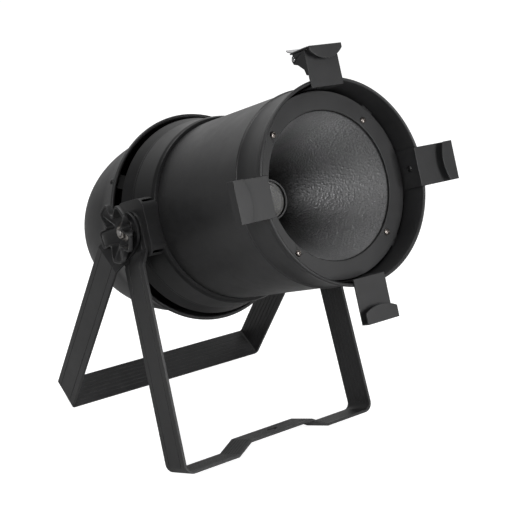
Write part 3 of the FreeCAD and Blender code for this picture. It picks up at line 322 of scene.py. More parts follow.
def lathe(draft: MeshDraft, space: Space, line: list[Point], segments: int, close: bool = True) -> None:
    """Turn a radius-and-length line about the space's z axis.

    Args:
        draft: Where the faces go.
        space: The space to turn in.
        line: Points (radius, along).
        segments: Steps round the axis.
        close: The line is a closed loop.
    """
    waves = round_steps(segments)
    rings = []
    for radius, along in line:
        rings.append([space.place(radius * c, radius * s, along) for c, s in waves])
    draft.ring_loft(rings, close=close, caps=not close)


def tube_along(draft: MeshDraft, path: list[Vector], radius: float, sides: int = 10) -> None:
    """Skin a round wire along a path given in the row frame.

    Args:
        draft: Where the faces go.
        path: Points of the wire's middle, in metres.
        radius: Wire radius in metres.
        sides: Faces round the wire.
    """
    rings = []
    normal = Vector((0.0, 0.0, 1.0))
    for index, point in enumerate(path):
        ahead = path[min(index + 1, len(path) - 1)] - path[max(index - 1, 0)]
        ahead.normalize()
        normal = (normal - ahead * normal.dot(ahead)).normalized()
        side = ahead.cross(normal)
        ring = []
        for step in range(sides):
            angle = math.tau * step / sides
            ring.append(point + (normal * math.cos(angle) + side * math.sin(angle)) * radius)
        rings.append(ring)
    draft.ring_loft(rings, caps=True)


# --- shader groups --------------------------------------------------------------


class NodeSheet:
    """Short calls for laying out nodes in a tree."""

    def __init__(self, tree: bpy.types.NodeTree) -> None:
        """Keep the tree.

        Args:
            tree: The tree to lay nodes out in.
        """
        self.tree = tree
        self.column = 0

    def add(self, kind: str, **settings: object) -> bpy.types.Node:
        """Add a node and set its properties.

        Args:
            kind: The node's type name.
            **settings: Properties of the node.

        Returns:
            The node.
        """
        made = self.tree.nodes.new(kind)
        made.location = (self.column * 190, -(self.column % 3) * 170)
        self.column += 1
        for name, value in settings.items():
            setattr(made, name, value)
        return made

    def join(self, source: bpy.types.NodeSocket, target: bpy.types.NodeSocket) -> None:
        """Link two sockets."""
        self.tree.links.new(source, target)

    def maths(self, operation: str, first: object, second: object = 0.5) -> bpy.types.NodeSocket:
        """Add a Math node.

        Args:
            operation: What it does.
            first: A socket or a number.
            second: A socket or a number.

        Returns:
            Its output.
        """
        made = self.add("ShaderNodeMath", operation=operation)
        for index, value in enumerate((first, second)):
            if isinstance(value, bpy.types.NodeSocket):
                self.join(value, made.inputs[index])
            else:
                made.inputs[index].default_value = value
        return made.outputs[0]

    def noise(self, vector: bpy.types.NodeSocket, scale: object, detail: float = 3.0) -> bpy.types.NodeSocket:
        """Add a noise texture.

        Args:
            vector: Where it reads.
            scale: A socket or a number.
            detail: Its detail.

        Returns:
            Its factor output.
        """
        made = self.add("ShaderNodeTexNoise")
        made.inputs["Detail"].default_value = detail
        self.join(vector, made.inputs["Vector"])
        if isinstance(scale, bpy.types.NodeSocket):
            self.join(scale, made.inputs["Scale"])
        else:
            made.inputs["Scale"].default_value = scale
        return made.outputs["Fac"]

    def spread(self, value: bpy.types.NodeSocket, low: object, high: object) -> bpy.types.NodeSocket:
        """Map nought to one onto a range.

        Args:
            value: The value to map.
            low: What nought becomes.
            high: What one becomes.

        Returns:
            The mapped value.
        """
        made = self.add("ShaderNodeMapRange")
        self.join(value, made.inputs["Value"])
        for name, edge in (("To Min", low), ("To Max", high)):
            if isinstance(edge, bpy.types.NodeSocket):
                self.join(edge, made.inputs[name])
            else:
                made.inputs[name].default_value = edge
        return made.outputs["Result"]

    def window(self, value: bpy.types.NodeSocket, low: float, high: float) -> bpy.types.NodeSocket:
        """Stretch a part of a value's range over nought to one.

        Args:
            value: The value to stretch.
            low: What becomes nought.
            high: What becomes one.

        Returns:
            The stretched value.
        """
        made = self.add("ShaderNodeMapRange")
        self.join(value, made.inputs["Value"])
        made.inputs["From Min"].default_value = low
        made.inputs["From Max"].default_value = high
        return made.outputs["Result"]

    def blend(self, share: bpy.types.NodeSocket, first: object, second: object) -> bpy.types.NodeSocket:
        """Mix two colours.

        Args:
            share: How much of the second.
            first: A socket or a colour.
            second: A socket or a colour.

        Returns:
            The mixed colour.
        """
        made = self.add("ShaderNodeMix", data_type="RGBA")
        self.join(share, made.inputs[0])
        for index, value in ((6, first), (7, second)):
            if isinstance(value, bpy.types.NodeSocket):
                self.join(value, made.inputs[index])
            else:
                made.inputs[index].default_value = (*value, 1.0)
        return made.outputs[2]


class GroupShelf:
    """The shader groups that several finishes share, each built once."""

    def __init__(self) -> None:
        """Start with an empty shelf."""
        self.made: dict[str, bpy.types.NodeTree] = {}

    def take(self, name: str) -> bpy.types.NodeTree:
        """Give a group, building it the first time.

        Args:
            name: One of the shelf's groups.

        Returns:
            The group's tree.
        """
        builders = {
            "fine_grain": self._fine_grain,
            "handling": self._handling,
            "edge_wear": self._edge_wear,
            "settled_dust": self._settled_dust,
        }
        if name not in self.made:
            self.made[name] = builders[name]()
        return self.made[name]

    def _start(
        self, name: str, inputs: dict[str, float], outputs: dict[str, str]
    ) -> tuple[NodeSheet, dict[str, bpy.types.NodeSocket], bpy.types.Node]:
        """Make an empty group with named sockets.

        Args:
            name: Its name.
            inputs: Input names and their usual values.
            outputs: Output names and their socket types.

        Returns:
            A sheet for its nodes, its inputs by name, and its output node.
        """
        tree = bpy.data.node_groups.new(name, "ShaderNodeTree")
        for label, value in inputs.items():
            socket = tree.interface.new_socket(name=label, in_out="INPUT", socket_type="NodeSocketFloat")
            socket.default_value = value
        for label, kind in outputs.items():
            tree.interface.new_socket(name=label, in_out="OUTPUT", socket_type=kind)
        sheet = NodeSheet(tree)
        entry = sheet.add("NodeGroupInput")
        leave = sheet.add("NodeGroupOutput")
        return sheet, {label: entry.outputs[label] for label in inputs}, leave

    def _fine_grain(self) -> bpy.types.NodeTree:
        """Orange-peel and speckle of a sprayed or moulded surface, as a height."""
        inputs = {"Scale": 900.0, "Peel": 0.35}
        sheet, given, leave = self._start("fine_grain", inputs, {"Height": "NodeSocketFloat"})
        where = sheet.add("ShaderNodeTexCoord").outputs["Object"]
        fine = sheet.noise(where, given["Scale"], 2.0)
        coarse = sheet.noise(where, sheet.maths("MULTIPLY", given["Scale"], 0.24), 1.0)
        kept = sheet.maths("MULTIPLY", fine, sheet.maths("SUBTRACT", 1.0, given["Peel"]))
        peel = sheet.maths("MULTIPLY", coarse, given["Peel"])
        sheet.join(sheet.maths("ADD", kept, peel), leave.inputs["Height"])
        return sheet.tree

    def _handling(self) -> bpy.types.NodeTree:
        """Smudges and faint rubs, as a mask."""
        sheet, given, leave = self._start("handling", {"Scale": 14.0}, {"Mask": "NodeSocketFloat"})
        where = sheet.add("ShaderNodeTexCoord").outputs["Object"]
        broad = sheet.noise(where, given["Scale"], 4.0)
        small = sheet.noise(where, sheet.maths("MULTIPLY", given["Scale"], 6.5), 3.0)
        both = sheet.maths("ADD", sheet.maths("MULTIPLY", broad, 0.7), sheet.maths("MULTIPLY", small, 0.3))
        sheet.join(sheet.window(both, 0.36, 0.66), leave.inputs["Mask"])
        return sheet.tree

    def _edge_wear(self) -> bpy.types.NodeTree:
        """Rubbed edges as a mask, and a normal that rounds the edges off."""
        outputs = {"Mask": "NodeSocketFloat", "Normal": "NodeSocketVector"}
        inputs = {"Radius": 0.0006, "Amount": 0.5}
        sheet, given, leave = self._start("edge_wear", inputs, outputs)
        soft = sheet.add("ShaderNodeBevel", samples=4)
        sheet.join(given["Radius"], soft.inputs["Radius"])
        flat = sheet.add("ShaderNodeNewGeometry").outputs["Normal"]
        match = sheet.add("ShaderNodeVectorMath", operation="DOT_PRODUCT")
        sheet.join(soft.outputs["Normal"], match.inputs[0])
        sheet.join(flat, match.inputs[1])
        edge = sheet.window(match.outputs["Value"], 0.995, 0.86)
        where = sheet.add("ShaderNodeTexCoord").outputs["Object"]
        patch = sheet.window(sheet.noise(where, 220.0, 4.0), 0.42, 0.62)
        worn = sheet.maths("MULTIPLY", sheet.maths("MULTIPLY", edge, patch), given["Amount"])
        sheet.join(worn, leave.inputs["Mask"])
        sheet.join(soft.outputs["Normal"], leave.inputs["Normal"])
        return sheet.tree

    def _settled_dust(self) -> bpy.types.NodeTree:
        """Thin dust on what faces up, as a mask."""
        sheet, given, leave = self._start("settled_dust", {"Amount": 0.1}, {"Mask": "NodeSocketFloat"})
        split = sheet.add("ShaderNodeSeparateXYZ")
        sheet.join(sheet.add("ShaderNodeNewGeometry").outputs["Normal"], split.inputs[0])
        up = sheet.window(split.outputs["Z"], 0.55, 1.0)
        where = sheet.add("ShaderNodeTexCoord").outputs["Object"]
        specks = sheet.window(sheet.noise(where, 480.0, 5.0), 0.46, 0.7)
        drift = sheet.window(sheet.noise(where, 18.0, 2.0), 0.3, 0.8)
        lying = sheet.maths("MULTIPLY", sheet.maths("MULTIPLY", up, specks), drift)
        sheet.join(sheet.maths("MULTIPLY", lying, given["Amount"]), leave.inputs["Mask"])
        return sheet.tree


SHELF = GroupShelf()


def place_group(sheet: NodeSheet, name: str, **values: float) -> bpy.types.Node:
    """Put a shared group in a material.

    Args:
        sheet: The material's sheet.
        name: The group's name.
        **values: Values of its inputs.

    Returns:
        The group node.
    """
    made = sheet.add("ShaderNodeGroup")
    made.node_tree = SHELF.take(name)
    for label, value in values.items():
        made.inputs[label].default_value = value
    return made


# --- finishes ---------------------------------------------------------------------


class Finish(ABC):
    """A surface finish that can be made into a material."""

    name: str

    @abstractmethod
    def dress(self, sheet: NodeSheet, shader: bpy.types.Node) -> None:
        """Lay the finish's nodes out.

        Args:
            sheet: The material's sheet.
            shader: Its Principled BSDF.
        """

    def material(self) -> bpy.types.Material:
        """Make the material, or give the one made before.

        Returns:
            The material.
        """
        made = bpy.data.materials.get(self.name)
        if made is None:
            made = bpy.data.materials.new(self.name)
            made.use_nodes = True
            made.node_tree.nodes.clear()
            sheet = NodeSheet(made.node_tree)
            shader = sheet.add("ShaderNodeBsdfPrincipled")
            self.dress(sheet, shader)
            leave = sheet.add("ShaderNodeOutputMaterial")
            sheet.join(shader.outputs["BSDF"], leave.inputs["Surface"])
        return made


@dataclass(frozen=True)
class SprayCoat(Finish):
    """Black powder coat on sheet steel, with rubbed edges, smudges and a little dust."""

    name: str
    colour: Colour = (0.012, 0.012, 0.0125)
    rubbed: Colour = (0.045, 0.045, 0.046)
    dust: Colour = (0.11, 0.105, 0.1)
    roughness: tuple[float, float] = (0.4, 0.52)
    grain: float = 900.0
    grain_depth: float = 0.00006
    wear: float = 0.5
    dust_amount: float = 0.1
    ior: float = 1.45

    def dress(self, sheet: NodeSheet, shader: bpy.types.Node) -> None:
        """Lay the coat's nodes out.

        Args:
            sheet: The material's sheet.
            shader: Its Principled BSDF.
        """
        shader.inputs["IOR"].default_value = self.ior
        edge = place_group(sheet, "edge_wear", Radius=0.0005, Amount=self.wear)
        smudge = place_group(sheet, "handling", Scale=12.0)
        dust = place_group(sheet, "settled_dust", Amount=self.dust_amount)
        grain = place_group(sheet, "fine_grain", Scale=self.grain, Peel=0.4)
        lighter = tuple(part * 1.5 for part in self.colour)
        coat = sheet.blend(smudge.outputs["Mask"], self.colour, lighter)
        rubbed = sheet.blend(edge.outputs["Mask"], coat, self.rubbed)
        sheet.join(sheet.blend(dust.outputs["Mask"], rubbed, self.dust), shader.inputs["Base Color"])
        rough = sheet.spread(smudge.outputs["Mask"], *self.roughness)
        dusty = sheet.maths("MULTIPLY", dust.outputs["Mask"], 0.4)
        sheet.join(sheet.maths("ADD", rough, dusty), shader.inputs["Roughness"])
        bump = sheet.add("ShaderNodeBump")
        bump.inputs["Strength"].default_value = 0.5
        bump.inputs["Distance"].default_value = self.grain_depth
        sheet.join(grain.outputs["Height"], bump.inputs["Height"])
        sheet.join(edge.outputs["Normal"], bump.inputs["Normal"])
        sheet.join(bump.outputs["Normal"], shader.inputs["Normal"])


@dataclass(frozen=True)
class HammeredMetal(Finish):
    """Darkened aluminium with a hammered skin, with painted shade blended in where the mesh's painted_shade
    attribute is high.
    """

    name: str
    colour: Colour = (0.72, 0.72, 0.725)
    tarnish: Colour = (0.3, 0.3, 0.305)
    # Painted shade: near-black colour that stands for the shade in the bowl's deep neck, at its lip and over
    # its back.
    painted_shade_colour: Colour = (0.02, 0.02, 0.02)
    roughness: tuple[float, float] = (0.38, 0.5)
    pebble: float = 420.0

    def dress(self, sheet: NodeSheet, shader: bpy.types.Node) -> None:
        """Lay the metal's nodes out.

        Args:
            sheet: The material's sheet.
            shader: Its Principled BSDF.
        """
        shader.inputs["Metallic"].default_value = 1.0
        smudge = place_group(sheet, "handling", Scale=20.0)
        where = sheet.add("ShaderNodeTexCoord").outputs["Object"]
        cells = sheet.add("ShaderNodeTexVoronoi", feature="SMOOTH_F1")
        cells.inputs["Scale"].default_value = self.pebble
        sheet.join(where, cells.inputs["Vector"])
        speckle = sheet.window(sheet.noise(where, 760.0, 3.0), 0.35, 0.7)
        tone = sheet.blend(speckle, self.tarnish, self.colour)
        darker = tuple(part * 0.6 for part in self.colour)
        uneven = sheet.blend(sheet.window(smudge.outputs["Mask"], 0.9, 0.0), darker, tone)
        # Painted shade: the bowl's painted_shade attribute blends the colour towards the painted shade
        # colour.
        painted_shade = sheet.add("ShaderNodeAttribute", attribute_name="painted_shade").outputs["Fac"]
        sheet.join(sheet.blend(painted_shade, uneven, self.painted_shade_colour), shader.inputs["Base Color"])
        sheet.join(sheet.spread(smudge.outputs["Mask"], *self.roughness), shader.inputs["Roughness"])
        bump = sheet.add("ShaderNodeBump")
        bump.inputs["Strength"].default_value = 0.7
        bump.inputs["Distance"].default_value = 0.0003
        sheet.join(cells.outputs["Distance"], bump.inputs["Height"])
        sheet.join(bump.outputs["Normal"], shader.inputs["Normal"])


@dataclass(frozen=True)
class BareMetal(Finish):
    """Plated, cast or drawn metal with fine scratches."""

    name: str
    colour: Colour
    tint: Colour
    roughness: tuple[float, float] = (0.18, 0.34)
    scratch: float = 700.0

    def dress(self, sheet: NodeSheet, shader: bpy.types.Node) -> None:
        """Lay the metal's nodes out.

        Args:
            sheet: The material's sheet.
            shader: Its Principled BSDF.
        """
        shader.inputs["Metallic"].default_value = 1.0
        edge = place_group(sheet, "edge_wear", Radius=0.0003, Amount=0.6)
        smudge = place_group(sheet, "handling", Scale=60.0)
        grain = place_group(sheet, "fine_grain", Scale=self.scratch, Peel=0.2)
        plate = sheet.blend(smudge.outputs["Mask"], self.colour, self.tint)
        bright = tuple(min(1.0, part * 1.2) for part in self.colour)
        sheet.join(sheet.blend(edge.outputs["Mask"], plate, bright), shader.inputs["Base Color"])
        sheet.join(sheet.spread(grain.outputs["Height"], *self.roughness), shader.inputs["Roughness"])
        bump = sheet.add("ShaderNodeBump")
        bump.inputs["Strength"].default_value = 0.3
        bump.inputs["Distance"].default_value = 0.00004
        sheet.join(grain.outputs["Height"], bump.inputs["Height"])
        sheet.join(edge.outputs["Normal"], bump.inputs["Normal"])
        sheet.join(bump.outputs["Normal"], shader.inputs["Normal"])


@dataclass(frozen=True)
class Moulding(Finish):
    """Moulded plastic or pressed fibre."""

    name: str
    colour: Colour = (0.014, 0.014, 0.0145)
    scuff: Colour = (0.035, 0.035, 0.036)
    roughness: tuple[float, float] = (0.38, 0.52)
    grain: float = 650.0
    grain_depth: float = 0.00005

    def dress(self, sheet: NodeSheet, shader: bpy.types.Node) -> None:
        """Lay the plastic's nodes out.

        Args:
            sheet: The material's sheet.
            shader: Its Principled BSDF.
        """
        shader.inputs["IOR"].default_value = 1.47
        edge = place_group(sheet, "edge_wear", Radius=0.0006, Amount=0.7)
        smudge = place_group(sheet, "handling", Scale=45.0)
        grain = place_group(sheet, "fine_grain", Scale=self.grain, Peel=0.3)
        sheet.join(sheet.blend(edge.outputs["Mask"], self.colour, self.scuff), shader.inputs["Base Color"])
        sheet.join(sheet.spread(smudge.outputs["Mask"], *self.roughness), shader.inputs["Roughness"])
        bump = sheet.add("ShaderNodeBump")
        bump.inputs["Strength"].default_value = 0.5
        bump.inputs["Distance"].default_value = self.grain_depth
        sheet.join(grain.outputs["Height"], bump.inputs["Height"])
        sheet.join(edge.outputs["Normal"], bump.inputs["Normal"])
        sheet.join(bump.outputs["Normal"], shader.inputs["Normal"])


@dataclass(frozen=True)
class LightFace(Finish):
    """Unlit light source: phosphor under a clear lens."""

    name: str
    colour: Colour = (0.05, 0.047, 0.035)
    edge: Colour = (0.02, 0.02, 0.02)

    def dress(self, sheet: NodeSheet, shader: bpy.types.Node) -> None:
        """Lay the lens's nodes out.

        Args:
            sheet: The material's sheet.
            shader: Its Principled BSDF.
        """
        shader.inputs["Coat Weight"].default_value = 0.6
        shader.inputs["Coat Roughness"].default_value = 0.08
        where = sheet.add("ShaderNodeTexCoord").outputs["Object"]
        cells = sheet.add("ShaderNodeTexVoronoi")
        cells.inputs["Scale"].default_value = 520.0
        sheet.join(where, cells.inputs["Vector"])
        dies = sheet.window(cells.outputs["Distance"], 0.2, 0.5)
        sheet.join(sheet.blend(dies, self.colour, self.edge), shader.inputs["Base Color"])
        sheet.join(sheet.spread(sheet.noise(where, 90.0), 0.3, 0.5), shader.inputs["Roughness"])


# --- studio -----------------------------------------------------------------------------


@dataclass(frozen=True)
class SoftLamp:
    """A large soft lamp aimed at the lantern."""

    name: str
    place: tuple[float, float, float]
    size: tuple[float, float]
    power: float
    aim: tuple[float, float, float] = (0.0, -0.02, 0.25)

    def build(self) -> bpy.types.Object:
        """Make the lamp.

        Returns:
            The lamp object.
        """
        light = bpy.data.lights.new(self.name, "AREA")
        light.shape = "RECTANGLE"
        light.size, light.size_y = self.size
        light.energy = self.power
        lamp = bpy.data.objects.new(self.name, light)
        lamp.location = self.place
        away = Vector(self.aim) - Vector(self.place)
        lamp.rotation_mode = "QUATERNION"
        lamp.rotation_quaternion = away.to_track_quat("-Z", "Y")
        bpy.context.scene.collection.objects.link(lamp)
        return lamp


@dataclass(frozen=True)
class Studio:
    """White floor, white surroundings, soft lamps and the camera."""

    azimuth: float = -37.37
    elevation: float = 19.35
    roll: float = 0.88
    aim: tuple[float, float, float] = (-0.02286, -0.07673, 0.22988)
    distance: float = 1.2116
    lens: float = 81.11
    film_width: float = 36.0
    floor_half: float = 6.0
    floor_tiles: int = 8
    ambient: tuple[float, float] = (0.16, 0.85)
    bright_side: tuple[float, float, float] = (0.55, 0.8, 0.25)
    bright_from: float = 0.35
    floor_colour: float = 0.5
    floor_lift: float = 0.87
    lamps: tuple[SoftLamp, ...] = (
        SoftLamp("lamp_top", (-0.3, 0.5, 2.2), (1.4, 1.0), 22.0),
        SoftLamp("lamp_key", (-1.9, -1.5, 1.25), (0.5, 0.5), 30.0),
        SoftLamp("lamp_right", (0.45, -2.1, 0.88), (0.72, 0.9), 30.0),
    )

    def build_camera(self) -> bpy.types.Object:
        """Make the camera.

        Returns:
            The camera object.
        """
        azimuth, elevation = math.radians(self.azimuth), math.radians(self.elevation)
        ahead = Vector(
            (
                -math.sin(azimuth) * math.cos(elevation),
                math.cos(azimuth) * math.cos(elevation),
                -math.sin(elevation),
            )
        )
        data = bpy.data.cameras.new("camera")
        data.lens = self.lens
        data.sensor_width = self.film_width
        camera = bpy.data.objects.new("camera", data)
        camera.rotation_mode = "QUATERNION"
        turn = ahead.to_track_quat("-Z", "Y")
        level = turn.to_matrix()
        rolled = level @ Matrix.Rotation(math.radians(self.roll), 3, "Z")
        camera.rotation_quaternion = rolled.to_quaternion()
        camera.location = Vector(self.aim) - ahead * self.distance
        bpy.context.scene.collection.objects.link(camera)
        bpy.context.scene.camera = camera
        return camera

    def build_floor(self) -> bpy.types.Object:
        """Make the floor, which shows white but keeps a shadow.

        Returns:
            The floor object.
        """
        draft = MeshDraft()
        half, tiles = self.floor_half, self.floor_tiles
        for row in range(tiles + 1):
            along = -half + 2 * half * row / tiles
            for column in range(tiles + 1):
                draft.vertices.append(Vector((-half + 2 * half * column / tiles, along, 0.0)))
        for row in range(tiles):
            for column in range(tiles):
                near = row * (tiles + 1) + column
                far = near + tiles + 1
                draft.faces.append((near, near + 1, far + 1, far))
        floor = draft.build("studio_floor", Shading.FLAT)
        material = bpy.data.materials.new("studio_white")
        material.use_nodes = True
        material.node_tree.nodes.clear()
        sheet = NodeSheet(material.node_tree)
        matte = sheet.add("ShaderNodeBsdfDiffuse")
        matte.inputs["Color"].default_value = (self.floor_colour,) * 3 + (1.0,)
        lift = sheet.add("ShaderNodeEmission")
        lift.inputs["Color"].default_value = (1.0, 1.0, 1.0, 1.0)
        seen = sheet.add("ShaderNodeLightPath").outputs["Is Camera Ray"]
        sheet.join(sheet.maths("MULTIPLY", seen, self.floor_lift), lift.inputs["Strength"])
        both = sheet.add("ShaderNodeAddShader")
        sheet.join(matte.outputs[0], both.inputs[0])
        sheet.join(lift.outputs[0], both.inputs[1])
        leave = sheet.add("ShaderNodeOutputMaterial")
        sheet.join(both.outputs[0], leave.inputs["Surface"])
        floor.data.materials.append(material)
        return floor

    def build_world(self) -> bpy.types.World:
        """Make the surroundings: white where they are seen, dimmer as light.

        Returns:
            The world.
        """
        world = bpy.data.worlds.new("studio_world")
        world.use_nodes = True
        world.node_tree.nodes.clear()
        sheet = NodeSheet(world.node_tree)
        seen = sheet.add("ShaderNodeLightPath").outputs["Is Camera Ray"]
        match = sheet.add("ShaderNodeVectorMath", operation="DOT_PRODUCT")
        sheet.join(sheet.add("ShaderNodeTexCoord").outputs["Generated"], match.inputs[0])
        match.inputs[1].default_value = Vector(self.bright_side).normalized()
        side = sheet.window(match.outputs["Value"], self.bright_from, 1.0)
        light = sheet.spread(side, *self.ambient)
        back = sheet.add("ShaderNodeBackground")
        back.inputs["Color"].default_value = (1.0, 1.0, 1.0, 1.0)
        sheet.join(sheet.spread(seen, light, 1.0), back.inputs["Strength"])
        leave = sheet.add("ShaderNodeOutputWorld")
        sheet.join(back.outputs[0], leave.inputs["Surface"])
        bpy.context.scene.world = world
        return world

    def build(self) -> None:
        """Make the whole studio."""
        bpy.context.scene.view_settings.view_transform = "Standard"
        self.build_camera()
        self.build_floor()
        self.build_world()
        for lamp in self.lamps:
            lamp.build()
        LOG.info("studio: camera, floor, surroundings, %d lamps", len(self.lamps))


# --- the lantern's sub-assemblies ---------------------------------------------------------


@dataclass
class Assembly(ABC):
    """A sub-assembly that builds its pieces."""

    frame: dict
    can: Space

    @abstractmethod
    def build(self) -> list[bpy.types.Object]:
        """Make the pieces.

        Returns:
            The new objects.
        """

    def put(
        self,
        piece: bpy.types.Object,
        finish: Finish,
        body: Body,
        slot: Slot,
        stands_for: tuple[str, ...] = (),
    ) -> bpy.types.Object:
        """Give a piece its finish and body, and hide the nodes it stands for.

        Args:
            piece: The new object.
            finish: Its finish.
            body: The body it rides on.
            slot: Its material slot; not used.
            stands_for: Nodes that it replaces.

        Returns:
            The piece.
        """
        piece.data.materials.append(finish.material())
        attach(piece, body.value)
        if stands_for:
            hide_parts(*stands_for)
        LOG.info("piece %s: %d faces", piece.name, len(piece.data.polygons))
        return piece


@dataclass
class CanShell(Assembly):
    """Tube, collar and bowl, turned sheet metal with rolled and beaded edges."""

    segments: int = 192
    sheet: float = 1.5
    tube_radius: float = 99.0
    tube_back: float = 12.0
    bead_at: float = 176.5
    bead_radius: float = 1.3
    neck_in: float = 0.5
    rim_at: float = 219.2
    rim_radius: float = 100.2
    rim_roll: float = 1.8
    collar_front: float = 27.5
    collar_step: float = 5.6
    shoulder_long: float = 11.5
    collar_waist: float = 8.2
    collar_flare: float = 13.0
    collar_groove: float = -14.0
    collar_back: float = -30.6
    bowl_rim: float = 116.8
    bowl_roll: float = 2.2
    bowl_mouth: float = -41.6
    dome_radius: float = 106.0
    dome_at: float = -85.0
    dome_deep: float = 152.0
    dome_steps: int = 42
    dome_step: float = 2.0
    flare_long: float = 42.3
    gland_hole: float = 8.1
    coat: Finish = SprayCoat("coat_can")
    # Painted shade: the collar takes a darker copy of the can's coat. Its stronger edge lightening is partly
    # wear and partly a painted highlight along the shoulder.
    collar_shade_coat: Finish = SprayCoat(
        "coat_collar_painted_shade", (0.008, 0.008, 0.0083), roughness=(0.32, 0.42), wear=0.8, ior=1.3
    )

    def tube_line(self) -> list[Point]:
        """Closed section of the tube.

        Returns:
            Points (radius, along).
        """
        out, bead = self.tube_radius, self.bead_at
        reach = self.rim_at - bead
        line: list[Point] = [(out - 0.4, self.tube_back), (out, self.tube_back + 0.4)]
        line.append((out, bead - self.bead_radius - 0.4))
        line += arc((out - 0.2, bead), self.bead_radius, -75, 75, 8)
        line.append((out - self.neck_in, bead + self.bead_radius * 2))
        line.append((out - self.neck_in * 0.8, bead + reach * 0.45))
        line.append((out + 0.3, bead + reach * 0.75))
        line += arc((self.rim_radius, self.rim_at), self.rim_roll, -55, 170, 14)
        inner = [
            (out + 0.3 - self.sheet, bead + reach * 0.75),
            (out - self.neck_in * 0.8 - self.sheet, bead + reach * 0.45),
            (out - self.neck_in - self.sheet, bead + self.bead_radius * 2),
            (out - self.sheet, bead - self.bead_radius),
            (out - self.sheet, self.tube_back),
        ]
        return line + inner

    def collar_line(self) -> list[Point]:
        """Closed section of the collar.

        Returns:
            Points (radius, along).
        """
        base, front, groove = self.tube_radius, self.collar_front, self.collar_groove
        step, waist = base + self.collar_step, base + self.collar_waist
        flare = base + self.collar_flare
        outer = [
            (base + 0.1, front),
            (base + self.collar_step * 0.62, front - self.shoulder_long * 0.1),
            (base + self.collar_step * 0.94, front - self.shoulder_long * 0.46),
            (step, front - self.shoulder_long),
            (waist - 0.2, groove + 3.4),
            (waist + 0.4, groove + 1.8),
            (waist - 0.5, groove),
            (waist - 0.2, groove - 1.5),
            (flare - 0.6, self.collar_back + 2.0),
            (flare - 0.1, self.collar_back + 0.5),
            (flare - 0.4, self.collar_back),
        ]
        smooth = soften(outer, [0, 2.2, 6, 30, 4, 1.2, 1.6, 4, 3, 0.6, 0], 5)
        inner = [
            (flare - self.sheet, self.collar_back),
            (flare - self.sheet - 0.6, self.collar_back + 2.0),
            (waist - 0.2 - self.sheet, groove - 1.5),
            (waist - 0.5 - self.sheet, groove),
            (waist - 0.2 - self.sheet, groove + 3.4),
            (step - self.sheet, front - self.shoulder_long),
            (base + self.collar_step * 0.9 - 1.4, front - self.shoulder_long * 0.63),
            (base + 0.1, front - self.shoulder_long * 0.24),
        ]
        return smooth + inner

    def bowl_line(self) -> list[Point]:
        """Closed section of the bowl.

        Returns:
            Points (radius, along).
        """
        wall, dome_radius = self.sheet, self.dome_radius
        edge = self.bowl_rim + self.bowl_roll * 0.35
        mouth = self.bowl_mouth - self.bowl_roll * 0.5
        outer = [(edge, mouth)]
        for share in (0.66, 0.33):
            radius = dome_radius + (edge - dome_radius) * share
            outer.append((radius, self.dome_at + self.flare_long * share))
        dome = []
        for step in range(self.dome_steps + 1):
            turn = math.radians(self.dome_step * step)
            along = self.dome_at - self.dome_deep * math.sin(turn)
            dome.append((dome_radius * math.cos(turn), along))
        tip = self.dome_at - self.dome_deep
        outer += [*dome, (self.gland_hole, tip)]
        inner = [(self.gland_hole, tip + wall)]
        for radius, along in reversed(dome):
            inner_along = min(along + wall * (1 - radius / dome_radius), 0.0)
            inner.append((max(radius - wall, self.gland_hole), inner_along))
        inner.append((edge - wall, mouth))
        roll = arc((self.bowl_rim, self.bowl_mouth), self.bowl_roll, 200, -60, 16)
        return [*inner, *roll, *outer]

    def build(self) -> list[bpy.types.Object]:
        """Make the three shells.

        Returns:
            The new objects.
        """
        shells = (
            ("tube_shell", self.tube_line(), "can_tube", self.coat),
            ("collar_shell", self.collar_line(), "rear_collar", self.collar_shade_coat),
            ("bowl_shell", self.bowl_line(), "rear_bowl", self.coat),
        )
        made = []
        for name, line, node, coat in shells:
            draft = MeshDraft()
            lathe(draft, self.can, line, self.segments)
            piece = draft.build(name, Shading.SOFT)
            made.append(self.put(piece, coat, Body.CAN, Slot.COAT, (node,)))
        return made


